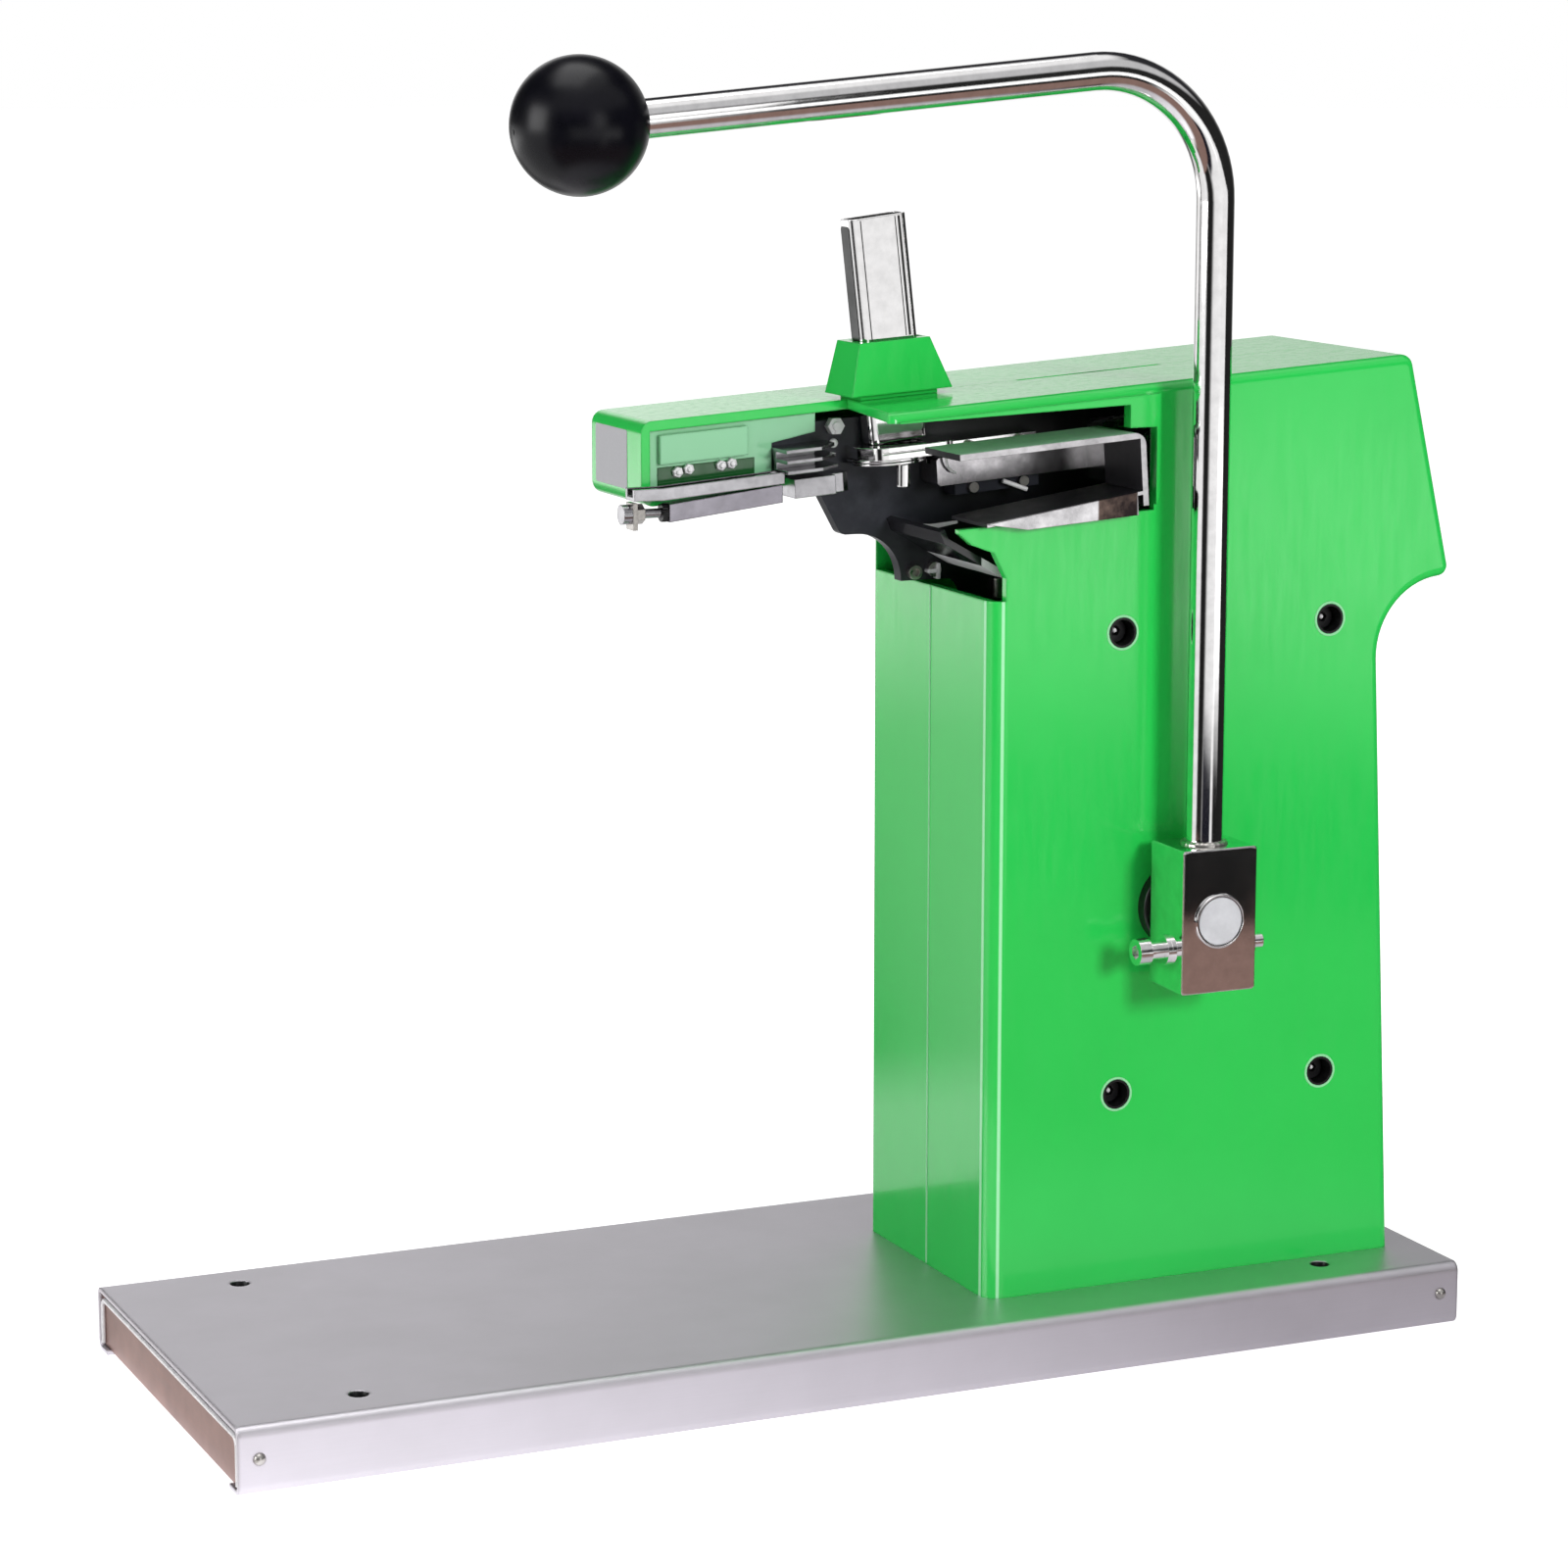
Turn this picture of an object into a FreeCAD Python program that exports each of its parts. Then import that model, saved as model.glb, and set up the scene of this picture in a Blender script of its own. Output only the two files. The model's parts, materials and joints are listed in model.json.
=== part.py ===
import FreeCAD, Part
import math
import os

import Sketcher
from FreeCAD import Placement, Rotation, Vector

# Bag neck sealer: a hand-lever machine that closes a bag's neck with an aluminium clip.
# A folded steel base carries a steel frame plate inside a two-part housing.  The lever turns a
# shaft, whose crank lifts a link, which rocks a bell crank, which drives the punch slide to the left.
# Millimetres, +Z up, +X towards the housing, -Y towards the lever; the origin is under the base centre.

doc = FreeCAD.newDocument("bag_neck_sealer")

DIMENSIONS = [
    # folded base
    ("origin_right", 2.59, "origin right of the base's middle: under the middle of the whole"),
    ("origin_front", 5.7, "origin in front of the base's middle"),
    ("base_length", 420.0, "base, left to right"),
    ("base_width", 157.0, "base, front to back"),
    ("base_height", 21.0, "top face above the bench"),
    ("base_sheet", 1.5, "sheet of the base and its end caps"),
    ("base_bend", 3.0, "outer bend radius of the base"),
    ("return_flange", 9.5, "inward flange along the long sides"),
    ("bench_pitch_x", 334.0, "bench holes, left to right"),
    ("bench_pitch_y", 123.0, "bench holes, front to back"),
    ("bench_hole", 6.6, "bench hole diameter"),
    ("cap_inset", 1.2, "end cap behind the end of the base"),
    ("side_rivet_inset", 6.6, "side rivet from the end of the base"),
    ("side_rivet_height", 11.0, "side rivet above the bench"),
    ("side_rivet_diameter", 2.6, "side rivet shank"),
    ("side_rivet_proud", 1.6, "head of the side rivet above the base's side"),
    # housing
    ("mid_plane", -9.0, "parting plane of the housing, along Y"),
    ("shell_half", 44.5, "parting plane to outer face"),
    ("shell_wall", 3.0, "housing wall"),
    ("shell_edge", 3.0, "rounding of the outer edges"),
    ("front_edge", 6.0, "rounding of the column's front edge"),
    ("front_x", 47.7, "front wall of the column"),
    ("rear_foot_x", 198.4, "rear wall at the foot"),
    ("waist_x", 188.0, "rear wall at the waist"),
    ("waist_z", 245.5, "waist height"),
    ("waist_radius", 25.0, "hollow curve at the waist"),
    ("tip_x", 216.0, "rear tip of the head"),
    ("tip_z", 247.5, "rear tip height"),
    ("tip_radius", 3.5, "rounding of the rear tip"),
    ("rear_top_x", 199.3, "rear end of the top"),
    ("top_z", 304.5, "top at the arm's end"),
    ("top_slope", 3.65, "rise of the top towards the rear, degrees"),
    ("arm_end_x", -52.5, "left end of the arm"),
    ("rail_overhang", 5.4, "arm rail beyond the end of the arm"),
    ("arm_depth", 26.7, "arm, top to underside"),
    ("arm_corner", 4.0, "rounding of the arm's end"),
    ("head_left_x", 12.0, "left end of the near half's top"),
    ("head_notch", 6.0, "near half's top drawn back at the parting plane"),
    ("window_left_z", 305.0, "underside of the band above the window, at its left end"),
    ("window_right_x", 95.0, "right side of the window"),
    ("window_right_z", 308.3, "underside of the band above the window, at its right end"),
    ("window_low_z", 274.5, "lower right corner of the window"),
    ("carriage_relief", 9.5, "window drawn out to the right for the carriage"),
    ("relief_top_z", 301.0, "top of that part of the window"),
    ("lip_x", 36.0, "point of the wall under the window"),
    ("lip_z", 271.4, "height of that point"),
    ("lip_knee_x", 40.6, "first bend of the edge below the point"),
    ("lip_knee_z", 266.4, "height of that bend"),
    ("lip_bend_x", 48.3, "second bend of the edge"),
    ("lip_bend_z", 263.5, "height of that bend"),
    ("lip_root_x", 52.6, "front edge of the wall under the point"),
    ("lip_root_z", 255.3, "lower end of the slanted edge"),
    ("front_wall_z", 248.0, "top of the column's front wall"),
    ("pad_right_x", 106.0, "right end of the raised band round the window"),
    ("pad_low_z", 275.5, "lower end of the raised band"),
    ("pad_proud", 1.5, "raised band above the near face"),
    ("pad_corner", 4.0, "rounding of the band's lower corner"),
    ("slit_start_x", 78.0, "slit in the top, left end"),
    ("slit_length", 52.0, "slit in the top"),
    ("slit_width", 2.0, "slit in the top"),
    ("post_diameter", 11.0, "screw posts inside the housing"),
    ("shell_screw_diameter", 4.0, "housing screws"),
    ("shell_screw_head", 7.4, "head of the housing screws"),
    ("shell_screw_recess", 8.8, "counterbore of the housing screws"),
    ("recess_depth", 9.0, "depth of the counterbores"),
    ("post_low_z", 84.8, "lower screws"),
    ("post_high_z", 235.8, "upper screws"),
    ("post_front_x", 94.0, "front screws"),
    ("post_rear_x", 170.0, "rear screws"),
    # frame plate
    ("frame_near_y", -4.4, "near face of the frame plate"),
    ("frame_thick", 5.0, "frame plate"),
    ("frame_front_x", 62.0, "front edge of the frame's column"),
    ("frame_rear_x", 178.0, "rear edge of the frame's column"),
    ("frame_top_gap", 6.5, "frame plate below the outside of the top"),
    ("frame_throat_x", 39.3, "foot of the throat curve"),
    ("frame_throat_z", 249.2, "underside of the frame's head"),
    ("frame_tip_x", 8.0, "upper end of the throat slant"),
    ("frame_tip_z", 283.6, "height of that end"),
    ("throat_radius", 15.7, "hollow curve under the throat"),
    ("throat_slant", 10.0, "throat slant, left to right"),
    ("foot_leg", 26.0, "legs of the foot angles"),
    ("foot_sheet", 4.0, "thickness of the foot angles"),
    ("foot_length", 104.0, "length of the foot angles"),
    ("foot_bolt", 6.0, "foot bolts"),
    # lever
    ("lever_x", 115.0, "shaft and upright rod"),
    ("shaft_z", 146.0, "shaft height"),
    ("shaft_diameter", 15.0, "pivot shaft"),
    ("shaft_end_gap", 2.0, "far end of the shaft to the far wall"),
    ("block_width", 26.4, "clamp block, left to right"),
    ("block_deep", 21.0, "clamp block, front to back"),
    ("block_height", 46.5, "clamp block"),
    ("block_slit", 1.6, "saw cut of the clamp"),
    ("pinch_drop", 10.3, "pinch bolt below the shaft axis"),
    ("pinch_diameter", 5.0, "pinch bolt"),
    ("rod_diameter", 12.0, "lever rod"),
    ("rod_seat", 12.0, "rod inside the block"),
    ("rod_bend", 40.0, "bend radius of the rod's centre line"),
    ("rod_slope", 4.8, "fall of the upper rod towards the knob, degrees"),
    ("rod_corner_z", 415.8, "where the rod's two centre lines meet"),
    ("knob_x", -96.0, "knob centre"),
    ("knob_diameter", 41.0, "ball knob"),
    ("knob_seat", 13.0, "rod inside the knob"),
    # shaft bearings and crank gear
    ("flange_diameter", 28.0, "flange of the near bush"),
    ("flange_thick", 4.5, "flange of the near bush"),
    ("washer_play", 0.3, "thrust washer off the near bush"),
    ("washer_thick", 2.2, "thrust washer"),
    ("bush_wall", 3.0, "wall of the bushes"),
    ("bush_clearance", 0.05, "shaft in its bushes, radial"),
    ("pin_clearance", 0.05, "pins in their bores, radial"),
    ("open_clearance", 0.15, "upper link pin in its bore, radial"),
    ("crank_radius", 30.0, "crank and bell crank arms"),
    ("crank_swing", 20.0, "swing each side of the middle, degrees"),
    ("crank_thick", 6.0, "crank and bell crank plates"),
    ("hub_proud", 8.0, "hub of the crank beyond its plate"),
    ("crank_near_y", -25.0, "near face of the cranks"),
    ("crank_boss", 15.0, "bosses at the ends of the arms"),
    ("crank_web", 11.0, "width of the arms"),
    ("pin_diameter", 8.0, "crank gear pins"),
    ("pin_head", 12.0, "heads of the crank gear pins"),
    ("link_thick", 5.0, "link"),
    ("side_gap", 0.5, "side gap between moving plates"),
    ("pivot_diameter", 10.0, "bell crank stud"),
    ("pivot_z", 260.0, "bell crank stud height"),
    ("pivot_boss", 22.0, "boss of the bell crank"),
    ("stop_diameter", 9.0, "rubber stop under the crank"),
    ("spring_diameter", 10.0, "return spring, mean"),
    ("spring_wire", 1.6, "return spring wire"),
    ("spring_anchor_z", 60.0, "lower spring stud"),
    # slide
    ("head_tilt", 4.0, "slide axis above the horizontal, degrees"),
    ("bar_near_y", -17.0, "near face of the punch bar"),
    ("bar_back_gap", 0.6, "punch bar to frame plate"),
    ("bar_height", 9.0, "punch bar"),
    ("bar_nose_u", -67.2, "nose of the punch bar along the slide axis"),
    ("ram_left_u", -7.0, "left end of the slide block"),
    ("ram_right_u", 26.0, "right end of the slide block"),
    ("ram_height", 19.0, "slide block"),
    ("slot_clearance", 0.25, "drive pin in the slot, each side"),
    ("rail_gap", 0.2, "punch bar to its rails"),
    ("rail_height", 4.0, "guide rails"),
    ("rail_deep", 8.0, "guide rails, front to back"),
    ("rail_left_u", -59.0, "left end of the guide rails"),
    ("rail_length", 30.0, "guide rails"),
    ("strap_near_y", -58.0, "near edge of the carriage"),
    ("strap_deep", 25.0, "carriage, front to back"),
    ("strap_sheet", 2.0, "carriage sheet"),
    ("strap_top_w", 11.0, "top of the carriage above the slide axis"),
    ("strap_left_u", -78.5, "left end of the carriage's top"),
    ("strap_right_u", -13.4, "right end of the carriage"),
    ("tray_left_u", -70.5, "left end of the carriage's tray"),
    ("tray_left_w", -11.6, "upper side of the tray, left end"),
    ("tray_right_w", -7.6, "upper side of the tray, right end"),
    ("tray_sheet", 1.2, "sheet of the tray"),
    ("end_low_w", -12.4, "lower end of the carriage's closed end"),
    ("lip_low_w", -15.0, "lower edge of the tray's lip"),
    ("lip_taper", 14.0, "tapered left part of the lip"),
    ("strap_corner", 4.0, "rounding of the carriage's closed end"),
    # throat
    ("nose_left_x", 20.0, "left end of the nose plate"),
    ("nose_right_x", 51.0, "right end of the nose plate"),
    ("nose_near_y", -23.0, "near edge of the nose plate"),
    ("nose_low_w", 6.6, "underside of the nose plate above the slide axis"),
    ("nose_thick", 4.0, "nose plate"),
    ("ring_radius", 13.0, "throat rings"),
    ("ring_thick", 0.7, "throat rings"),
    ("jaw_left_x", -6.5, "left end of the jaw plates"),
    ("jaw_right_x", 12.6, "tip of the jaw plates"),
    ("jaw_near_y", -19.0, "near edge of the jaw plates"),
    ("jaw_thick", 1.1, "jaw plates"),
    ("jaw_pitch", 3.3, "jaw plates, one above the other"),
    ("jaw_low_w", 5.4, "underside of the lowest jaw plate above the slide axis"),
    ("guide_x", 35.6, "upper end of the throat guide"),
    ("guide_top_z", 270.6, "height of that end"),
    ("guide_run", 19.8, "sloping part of the throat guide, left to right"),
    ("guide_fall", 11.3, "sloping part of the throat guide, fall"),
    ("guide_thick", 2.1, "throat guide"),
    ("guide_deep", 39.6, "throat guide, front to back"),
    ("anvil_height", 6.0, "anvil"),
    ("anvil_face_x", 17.5, "striking face of the anvil"),
    # magazine
    ("magazine_x", 33.0, "magazine centre line at the top of the housing"),
    ("magazine_tilt", 6.5, "lean of the magazine to the left, degrees"),
    ("magazine_wide", 20.0, "magazine tube"),
    ("magazine_deep", 9.0, "magazine tube"),
    ("magazine_wall", 1.0, "magazine tube"),
    ("magazine_corner", 2.4, "corners of the magazine tube"),
    ("follower_gap", 0.3, "follower to the tube's inside"),
    ("magazine_above", 57.0, "tube above the housing"),
    ("magazine_below", 14.3, "tube inside the housing"),
    ("holder_wide", 35.0, "magazine holder at its foot"),
    ("holder_deep", 21.0, "magazine holder at its foot"),
    ("holder_height", 16.5, "magazine holder"),
    ("holder_gap", 1.6, "foot of the holder above the housing"),
    # arm fittings
    ("cover_recess", 1.6, "arm cover behind the parting plane"),
    ("cover_sheet", 2.0, "arm cover"),
    ("cover_step", 8.0, "height of the cover's reach over the jaw plates"),
    ("panel_rise", 9.5, "raised panel above the lower edge of the cover"),
    ("panel_stop", 10.0, "raised panel short of the jaw plates"),
    ("rail_curve", 10.0, "shaped left end of the arm rail"),
    ("rail_foot", 3.4, "underside of the arm rail above the arm's underside"),
    ("rail_side", 3.6, "arm rail, upright side"),
    ("rail_reach", 7.5, "arm rail, front to back"),
    ("tray_bar_height", 5.6, "bar under the arm"),
]


class Size:
    """A size with its value and the expression that gives it from the sheet."""

    def __init__(self, value, text):
        self.value = value
        self.text = text

    def combine(self, other, sign, value):
        return Size(value, f"({self.text} {sign} {as_size(other).text})")

    def __add__(self, other):
        return self.combine(other, "+", self.value + as_size(other).value)

    def __radd__(self, other):
        return as_size(other) + self

    def __sub__(self, other):
        return self.combine(other, "-", self.value - as_size(other).value)

    def __rsub__(self, other):
        return as_size(other) - self

    def __mul__(self, other):
        return self.combine(other, "*", self.value * as_size(other).value)

    def __rmul__(self, other):
        return as_size(other) * self

    def __truediv__(self, other):
        return self.combine(other, "/", self.value / as_size(other).value)

    def __neg__(self):
        return as_size(0) - self


def as_size(number):
    """A plain number as a Size."""
    return number if isinstance(number, Size) else Size(float(number), f"{float(number):.10g}")


def trig(name, angle):
    """sin, cos or tan of an angle in degrees."""
    value = getattr(math, name)(math.radians(angle.value))
    return Size(value, f"{name}({angle.text} * 1 deg)")


def make_sheet():
    """The spreadsheet, and each of its cells as a Size."""
    table = doc.addObject("Spreadsheet::Sheet", "Sizes")
    for row, (alias, value, note) in enumerate(DIMENSIONS, 1):
        table.set(f"A{row}", alias)
        table.set(f"B{row}", f"{value:g}")
        table.set(f"C{row}", note)
        table.setAlias(f"B{row}", alias)
    doc.recompute()
    return {alias: Size(float(table.get(alias)), f"Sizes.{alias}") for alias, _, _ in DIMENSIONS}


D = make_sheet()
exported = []


# ---------------------------------------------------------------- modelling helpers

def bind(obj, prop, size):
    """Set a property from a Size and tie it to the sheet."""
    obj.setExpression(prop, as_size(size).text)


def place(obj, x=0, y=0, z=0, tilt=None):
    """Put a piece at a point given from the base's middle; tilt turns its +X up, in degrees."""
    angle = as_size(tilt if tilt is not None else 0)
    position = Vector(as_size(x).value, as_size(y).value, as_size(z).value)
    obj.Placement = Placement(position, Rotation(Vector(0, -1, 0), angle.value))
    bind(obj, "Placement.Base.x", x)
    bind(obj, "Placement.Base.y", y)
    bind(obj, "Placement.Base.z", z)
    if tilt is not None:
        bind(obj, "Placement.Rotation.Angle", angle)


def new_body(label):
    """An empty body that is exported under its label."""
    body = doc.addObject("PartDesign::Body", label)
    body.Label = label
    exported.append(body)
    return body


def new_sketch(body, plane, height, name):
    """A sketch on one of the body's origin planes, lifted by height along the plane's axis."""
    sketch = body.newObject("Sketcher::SketchObject", f"{body.Name}_{name}")
    role = {"xy": "XY_Plane", "xz": "XZ_Plane", "yz": "YZ_Plane"}[plane]
    origin_plane = next(f for f in body.Origin.OriginFeatures if f.Role == role)
    sketch.AttachmentSupport = [(origin_plane, "")]
    sketch.MapMode = "FlatFace"
    # the xz plane's axis is -Y
    offset = -as_size(height) if plane == "xz" else as_size(height)
    sketch.AttachmentOffset = Placement(Vector(0, 0, offset.value), Rotation())
    bind(sketch, "AttachmentOffset.Base.z", offset)
    return sketch


def hold_point(sketch, geometry, corner, u, v):
    """Tie a point of the sketch to its place from the origin."""
    for kind, size in (("DistanceX", as_size(u)), ("DistanceY", as_size(v))):
        index = sketch.addConstraint(Sketcher.Constraint(kind, -1, 1, geometry, corner, size.value))
        bind(sketch, f"Constraints[{index}]", size)


def draw(sketch, loops):
    """Closed loops: a list of corners, or a circle as (u, v, radius)."""
    for loop in loops:
        if isinstance(loop, tuple):
            u, v, radius = loop
            centre = Vector(as_size(u).value, as_size(v).value, 0)
            circle = sketch.addGeometry(Part.Circle(centre, Vector(0, 0, 1), as_size(radius).value))
            hold_point(sketch, circle, 3, u, v)
            index = sketch.addConstraint(Sketcher.Constraint("Radius", circle, as_size(radius).value))
            bind(sketch, f"Constraints[{index}]", radius)
            continue
        ends = [Vector(as_size(u).value, as_size(v).value, 0) for u, v in loop]
        first = sketch.GeometryCount
        count = len(ends)
        for i in range(count):
            sketch.addGeometry(Part.LineSegment(ends[i], ends[(i + 1) % count]))
        for i in range(count):
            joint = Sketcher.Constraint("Coincident", first + i, 2, first + (i + 1) % count, 1)
            sketch.addConstraint(joint)
        for i, (u, v) in enumerate(loop):
            hold_point(sketch, first + i, 1, u, v)


def prism(body, kind, name, plane, loops, start, thick, back=False):
    """Pad or pocket loops from start, by thick, along the plane's axis (+Z, +X, or -Y); back turns it."""
    before = body.Tip.Shape.Volume if body.Tip else 0
    sketch = new_sketch(body, plane, start, name)
    draw(sketch, loops)
    feature = body.newObject(f"PartDesign::{kind}", f"{body.Name}_{name}_{kind.lower()}")
    feature.Profile = sketch
    feature.Reversed = back
    feature.Length = as_size(thick).value
    bind(feature, "Length", thick)
    doc.recompute()
    if abs(feature.Shape.Volume - before) < 0.5:
        raise RuntimeError(f"{feature.Name} changes nothing")
    return feature


def pad(body, name, plane, loops, start, thick, back=False):
    """Add material from the sketch plane along its axis."""
    return prism(body, "Pad", name, plane, loops, start, thick, back)


def pocket(body, name, plane, loops, start, thick, back=False):
    """Remove material from the sketch plane against its axis; back turns it along the axis."""
    return prism(body, "Pocket", name, plane, loops, start, thick, back)


def pick(body, test):
    """Names of the body's edges that pass a test of their two ends."""
    shape = body.Tip.Shape
    names = []
    for i, edge in enumerate(shape.Edges, 1):
        ends = [v.Point for v in edge.Vertexes]
        if test(ends[0], ends[-1], edge):
            names.append(f"Edge{i}")
    return names


def dress(body, kind, names, size):
    """Fillet or chamfer the named edges of the body."""
    if not names:
        raise RuntimeError(f"{body.Name}: no edge to {kind.lower()}")
    base = body.Tip
    feature = body.newObject(f"PartDesign::{kind}", f"{body.Name}_{kind.lower()}")
    feature.Base = (base, names)
    prop = "Radius" if kind == "Fillet" else "Size"
    setattr(feature, prop, as_size(size).value)
    bind(feature, prop, size)
    doc.recompute()
    return feature


def round_edges(body, size, test):
    """Fillet the edges that pass the test."""
    return dress(body, "Fillet", pick(body, test), size)


def along(axis, *places, near=0.6):
    """A test for straight edges along an axis that pass through given places in the other two axes."""
    index = "xyz".index(axis)
    others = [i for i in range(3) if i != index]

    def test(a, b, edge):
        if abs(a[index] - b[index]) < 0.5 or any(abs(a[i] - b[i]) > 0.05 for i in others):
            return False
        spots = [[as_size(v).value for v in spot] for spot in places]
        return any(all(abs(a[i] - spot[k]) < near for k, i in enumerate(others)) for spot in spots)

    return test


def box_loop(u_low, v_low, u_high, v_high):
    """A rectangle as a loop."""
    return [(u_low, v_low), (u_high, v_low), (u_high, v_high), (u_low, v_high)]


def cylinder(name, radius, height, x, y, z, axis):
    """A Part cylinder from a point along an axis: x, y, z, or -y."""
    turn = {"x": Rotation(Vector(0, 1, 0), 90), "y": Rotation(Vector(1, 0, 0), -90),
            "-y": Rotation(Vector(1, 0, 0), 90), "z": Rotation()}[axis]
    solid = doc.addObject("Part::Cylinder", name)
    bind(solid, "Radius", radius)
    bind(solid, "Height", height)
    solid.Placement = Placement(Vector(), turn)
    for key, size in zip("xyz", (x, y, z)):
        bind(solid, f"Placement.Base.{key}", size)
    return solid


def hex_prism(name, across, height, x, y, z, axis):
    """A hexagonal prism, given across its flats."""
    turn = {"x": Rotation(Vector(0, 1, 0), 90), "-y": Rotation(Vector(1, 0, 0), 90), "z": Rotation()}[axis]
    solid = doc.addObject("Part::Prism", name)
    solid.Polygon = 6
    bind(solid, "Circumradius", across / (2 * trig("cos", as_size(30))))
    bind(solid, "Height", height)
    solid.Placement = Placement(Vector(), turn)
    for key, size in zip("xyz", (x, y, z)):
        bind(solid, f"Placement.Base.{key}", size)
    return solid


def fuse(name, pieces):
    """Pieces joined into one solid."""
    whole = doc.addObject("Part::MultiFuse", name)
    whole.Shapes = pieces
    whole.Refine = True
    return whole


def cut(name, base, tool):
    """Base less tool."""
    whole = doc.addObject("Part::Cut", name)
    whole.Base = base
    whole.Tool = tool
    return whole


def group(label, pieces):
    """Separate solids that share one file."""
    whole = doc.addObject("Part::Compound", label)
    whole.Label = label
    whole.Links = pieces
    exported.append(whole)
    return whole


def keep(label, obj):
    """Export one Part object under a label."""
    obj.Label = label
    exported.append(obj)
    return obj


def top_at(x):
    """Outside of the housing's top at x."""
    return D["top_z"] + (x - D["arm_end_x"]) * trig("tan", D["top_slope"])


# ---------------------------------------------------------------- base

def make_base_plate():
    """Channel folded from one sheet, with inward flanges along its long sides and four bench holes."""
    body = new_body("base_plate")
    half = D["base_width"] / 2
    length = D["base_length"]
    sheet, flange, high = D["base_sheet"], D["return_flange"], D["base_height"]
    section = [(-half, 0), (flange - half, 0), (flange - half, sheet), (sheet - half, sheet),
               (sheet - half, high - sheet), (half - sheet, high - sheet), (half - sheet, sheet),
               (half - flange, sheet), (half - flange, 0), (half, 0), (half, high), (-half, high)]
    pad(body, "section", "yz", [section], -length / 2, length)
    round_edges(body, D["base_bend"], along("x", (-half, 0), (half, 0), (-half, high), (half, high)))
    inner = D["base_bend"] - sheet
    round_edges(body, inner, along("x", (sheet - half, sheet), (half - sheet, sheet),
                                   (sheet - half, high - sheet), (half - sheet, high - sheet)))
    holes = [(x * D["bench_pitch_x"] / 2, y * D["bench_pitch_y"] / 2, D["bench_hole"] / 2)
             for x in (-1, 1) for y in (-1, 1)]
    holes += [(x, y, D["foot_bolt"] / 2 + 0.3) for x, y in foot_bolt_spots()]
    pocket(body, "holes", "xy", holes, high, sheet * 2)
    rivet_x = length / 2 - D["side_rivet_inset"]
    sides = [(x, D["side_rivet_height"], D["side_rivet_diameter"] / 2 + 0.2) for x in (-rivet_x, rivet_x)]
    pocket(body, "near_side_holes", "xz", sides, -half, sheet * 2)
    pocket(body, "far_side_holes", "xz", sides, half, sheet * 2, back=True)


def foot_bolt_spots():
    """Places of the bolts that hold the foot angles to the base."""
    middle = (D["frame_front_x"] + D["frame_rear_x"]) / 2
    reach = D["foot_length"] / 2 - 14
    near = D["frame_near_y"] - D["foot_leg"] * 0.55
    far = D["frame_near_y"] + D["frame_thick"] + D["foot_leg"] * 0.55
    return [(middle + side * reach, y) for side in (-1, 1) for y in (near, far)]


def make_end_cap(label, side):
    """Pressed cap inside one end of the base: a plate with three flanges folded inwards."""
    body = new_body(label)
    sheet, gap = D["base_sheet"], 0.25
    half = D["base_width"] / 2 - sheet - gap
    low, high = sheet + gap, D["base_height"] - sheet - gap
    depth = D["side_rivet_inset"] + 6
    outline = box_loop(-half, low, half, high)
    pad(body, "block", "yz", [outline], 0, depth)
    corner = D["base_bend"] - sheet + 0.3
    round_edges(body, corner, along("x", (-half, low), (half, low), (-half, high), (half, high)))
    inner = box_loop(sheet - half, low - 1, half - sheet, high - sheet)
    pocket(body, "hollow", "yz", [inner], sheet, depth, back=True)
    rivet = (D["side_rivet_inset"] - D["cap_inset"], D["side_rivet_height"], D["side_rivet_diameter"] / 2)
    pocket(body, "near_hole", "xz", [rivet], -half - 1, sheet + 2)
    pocket(body, "far_hole", "xz", [rivet], half + 1, sheet + 2, back=True)
    start = D["base_length"] / 2 - D["cap_inset"]
    place(body, -start if side < 0 else start, 0, 0)
    if side > 0:
        body.Placement = Placement(body.Placement.Base, Rotation(Vector(0, 0, 1), 180))


def make_side_rivets():
    """Four domed rivets that hold the end caps."""
    rivets = []
    reach = D["base_length"] / 2 - D["side_rivet_inset"]
    half, z = D["base_width"] / 2, D["side_rivet_height"]
    radius, proud = D["side_rivet_diameter"] * 0.77, D["side_rivet_proud"]
    ball_radius = (radius * radius + proud * proud) / (2 * proud)
    for i, (x, side) in enumerate([(-1, -1), (1, -1), (-1, 1), (1, 1)]):
        axis, back = ("-y", "y") if side < 0 else ("y", "-y")
        ball = doc.addObject("Part::Sphere", f"side_ball_{i}")
        bind(ball, "Radius", ball_radius)
        place(ball, x * reach, side * (half + proud - ball_radius), z)
        limit = cylinder(f"side_limit_{i}", radius + 1, proud + 1, x * reach, side * half, z, axis)
        dome = doc.addObject("Part::Common", f"side_dome_{i}")
        dome.Base, dome.Tool = ball, limit
        shank = cylinder(f"side_shank_{i}", D["side_rivet_diameter"] / 2 - 0.05, 6, x * reach, side * half, z, back)
        rivets.append(fuse(f"side_rivet_{i}", [dome, shank]))
    group("side_rivets", rivets)


def hex_socket(name, across, depth, x, y, z, side):
    """A hexagon drive sunk into a head that faces -Y (side -1) or +Y (side 1)."""
    start = y + depth if side < 0 else y
    return hex_prism(name, as_size(across), depth, x, start, z, "-y")


# ---------------------------------------------------------------- housing

def column_outline():
    """Foot, rear wall, waist, tip and top rear corner that both halves share."""
    return [(D["front_x"], D["base_height"]), (D["rear_foot_x"], D["base_height"]),
            (D["waist_x"], D["waist_z"]), (D["tip_x"], D["tip_z"]),
            (D["rear_top_x"], top_at(D["rear_top_x"]))]


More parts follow.
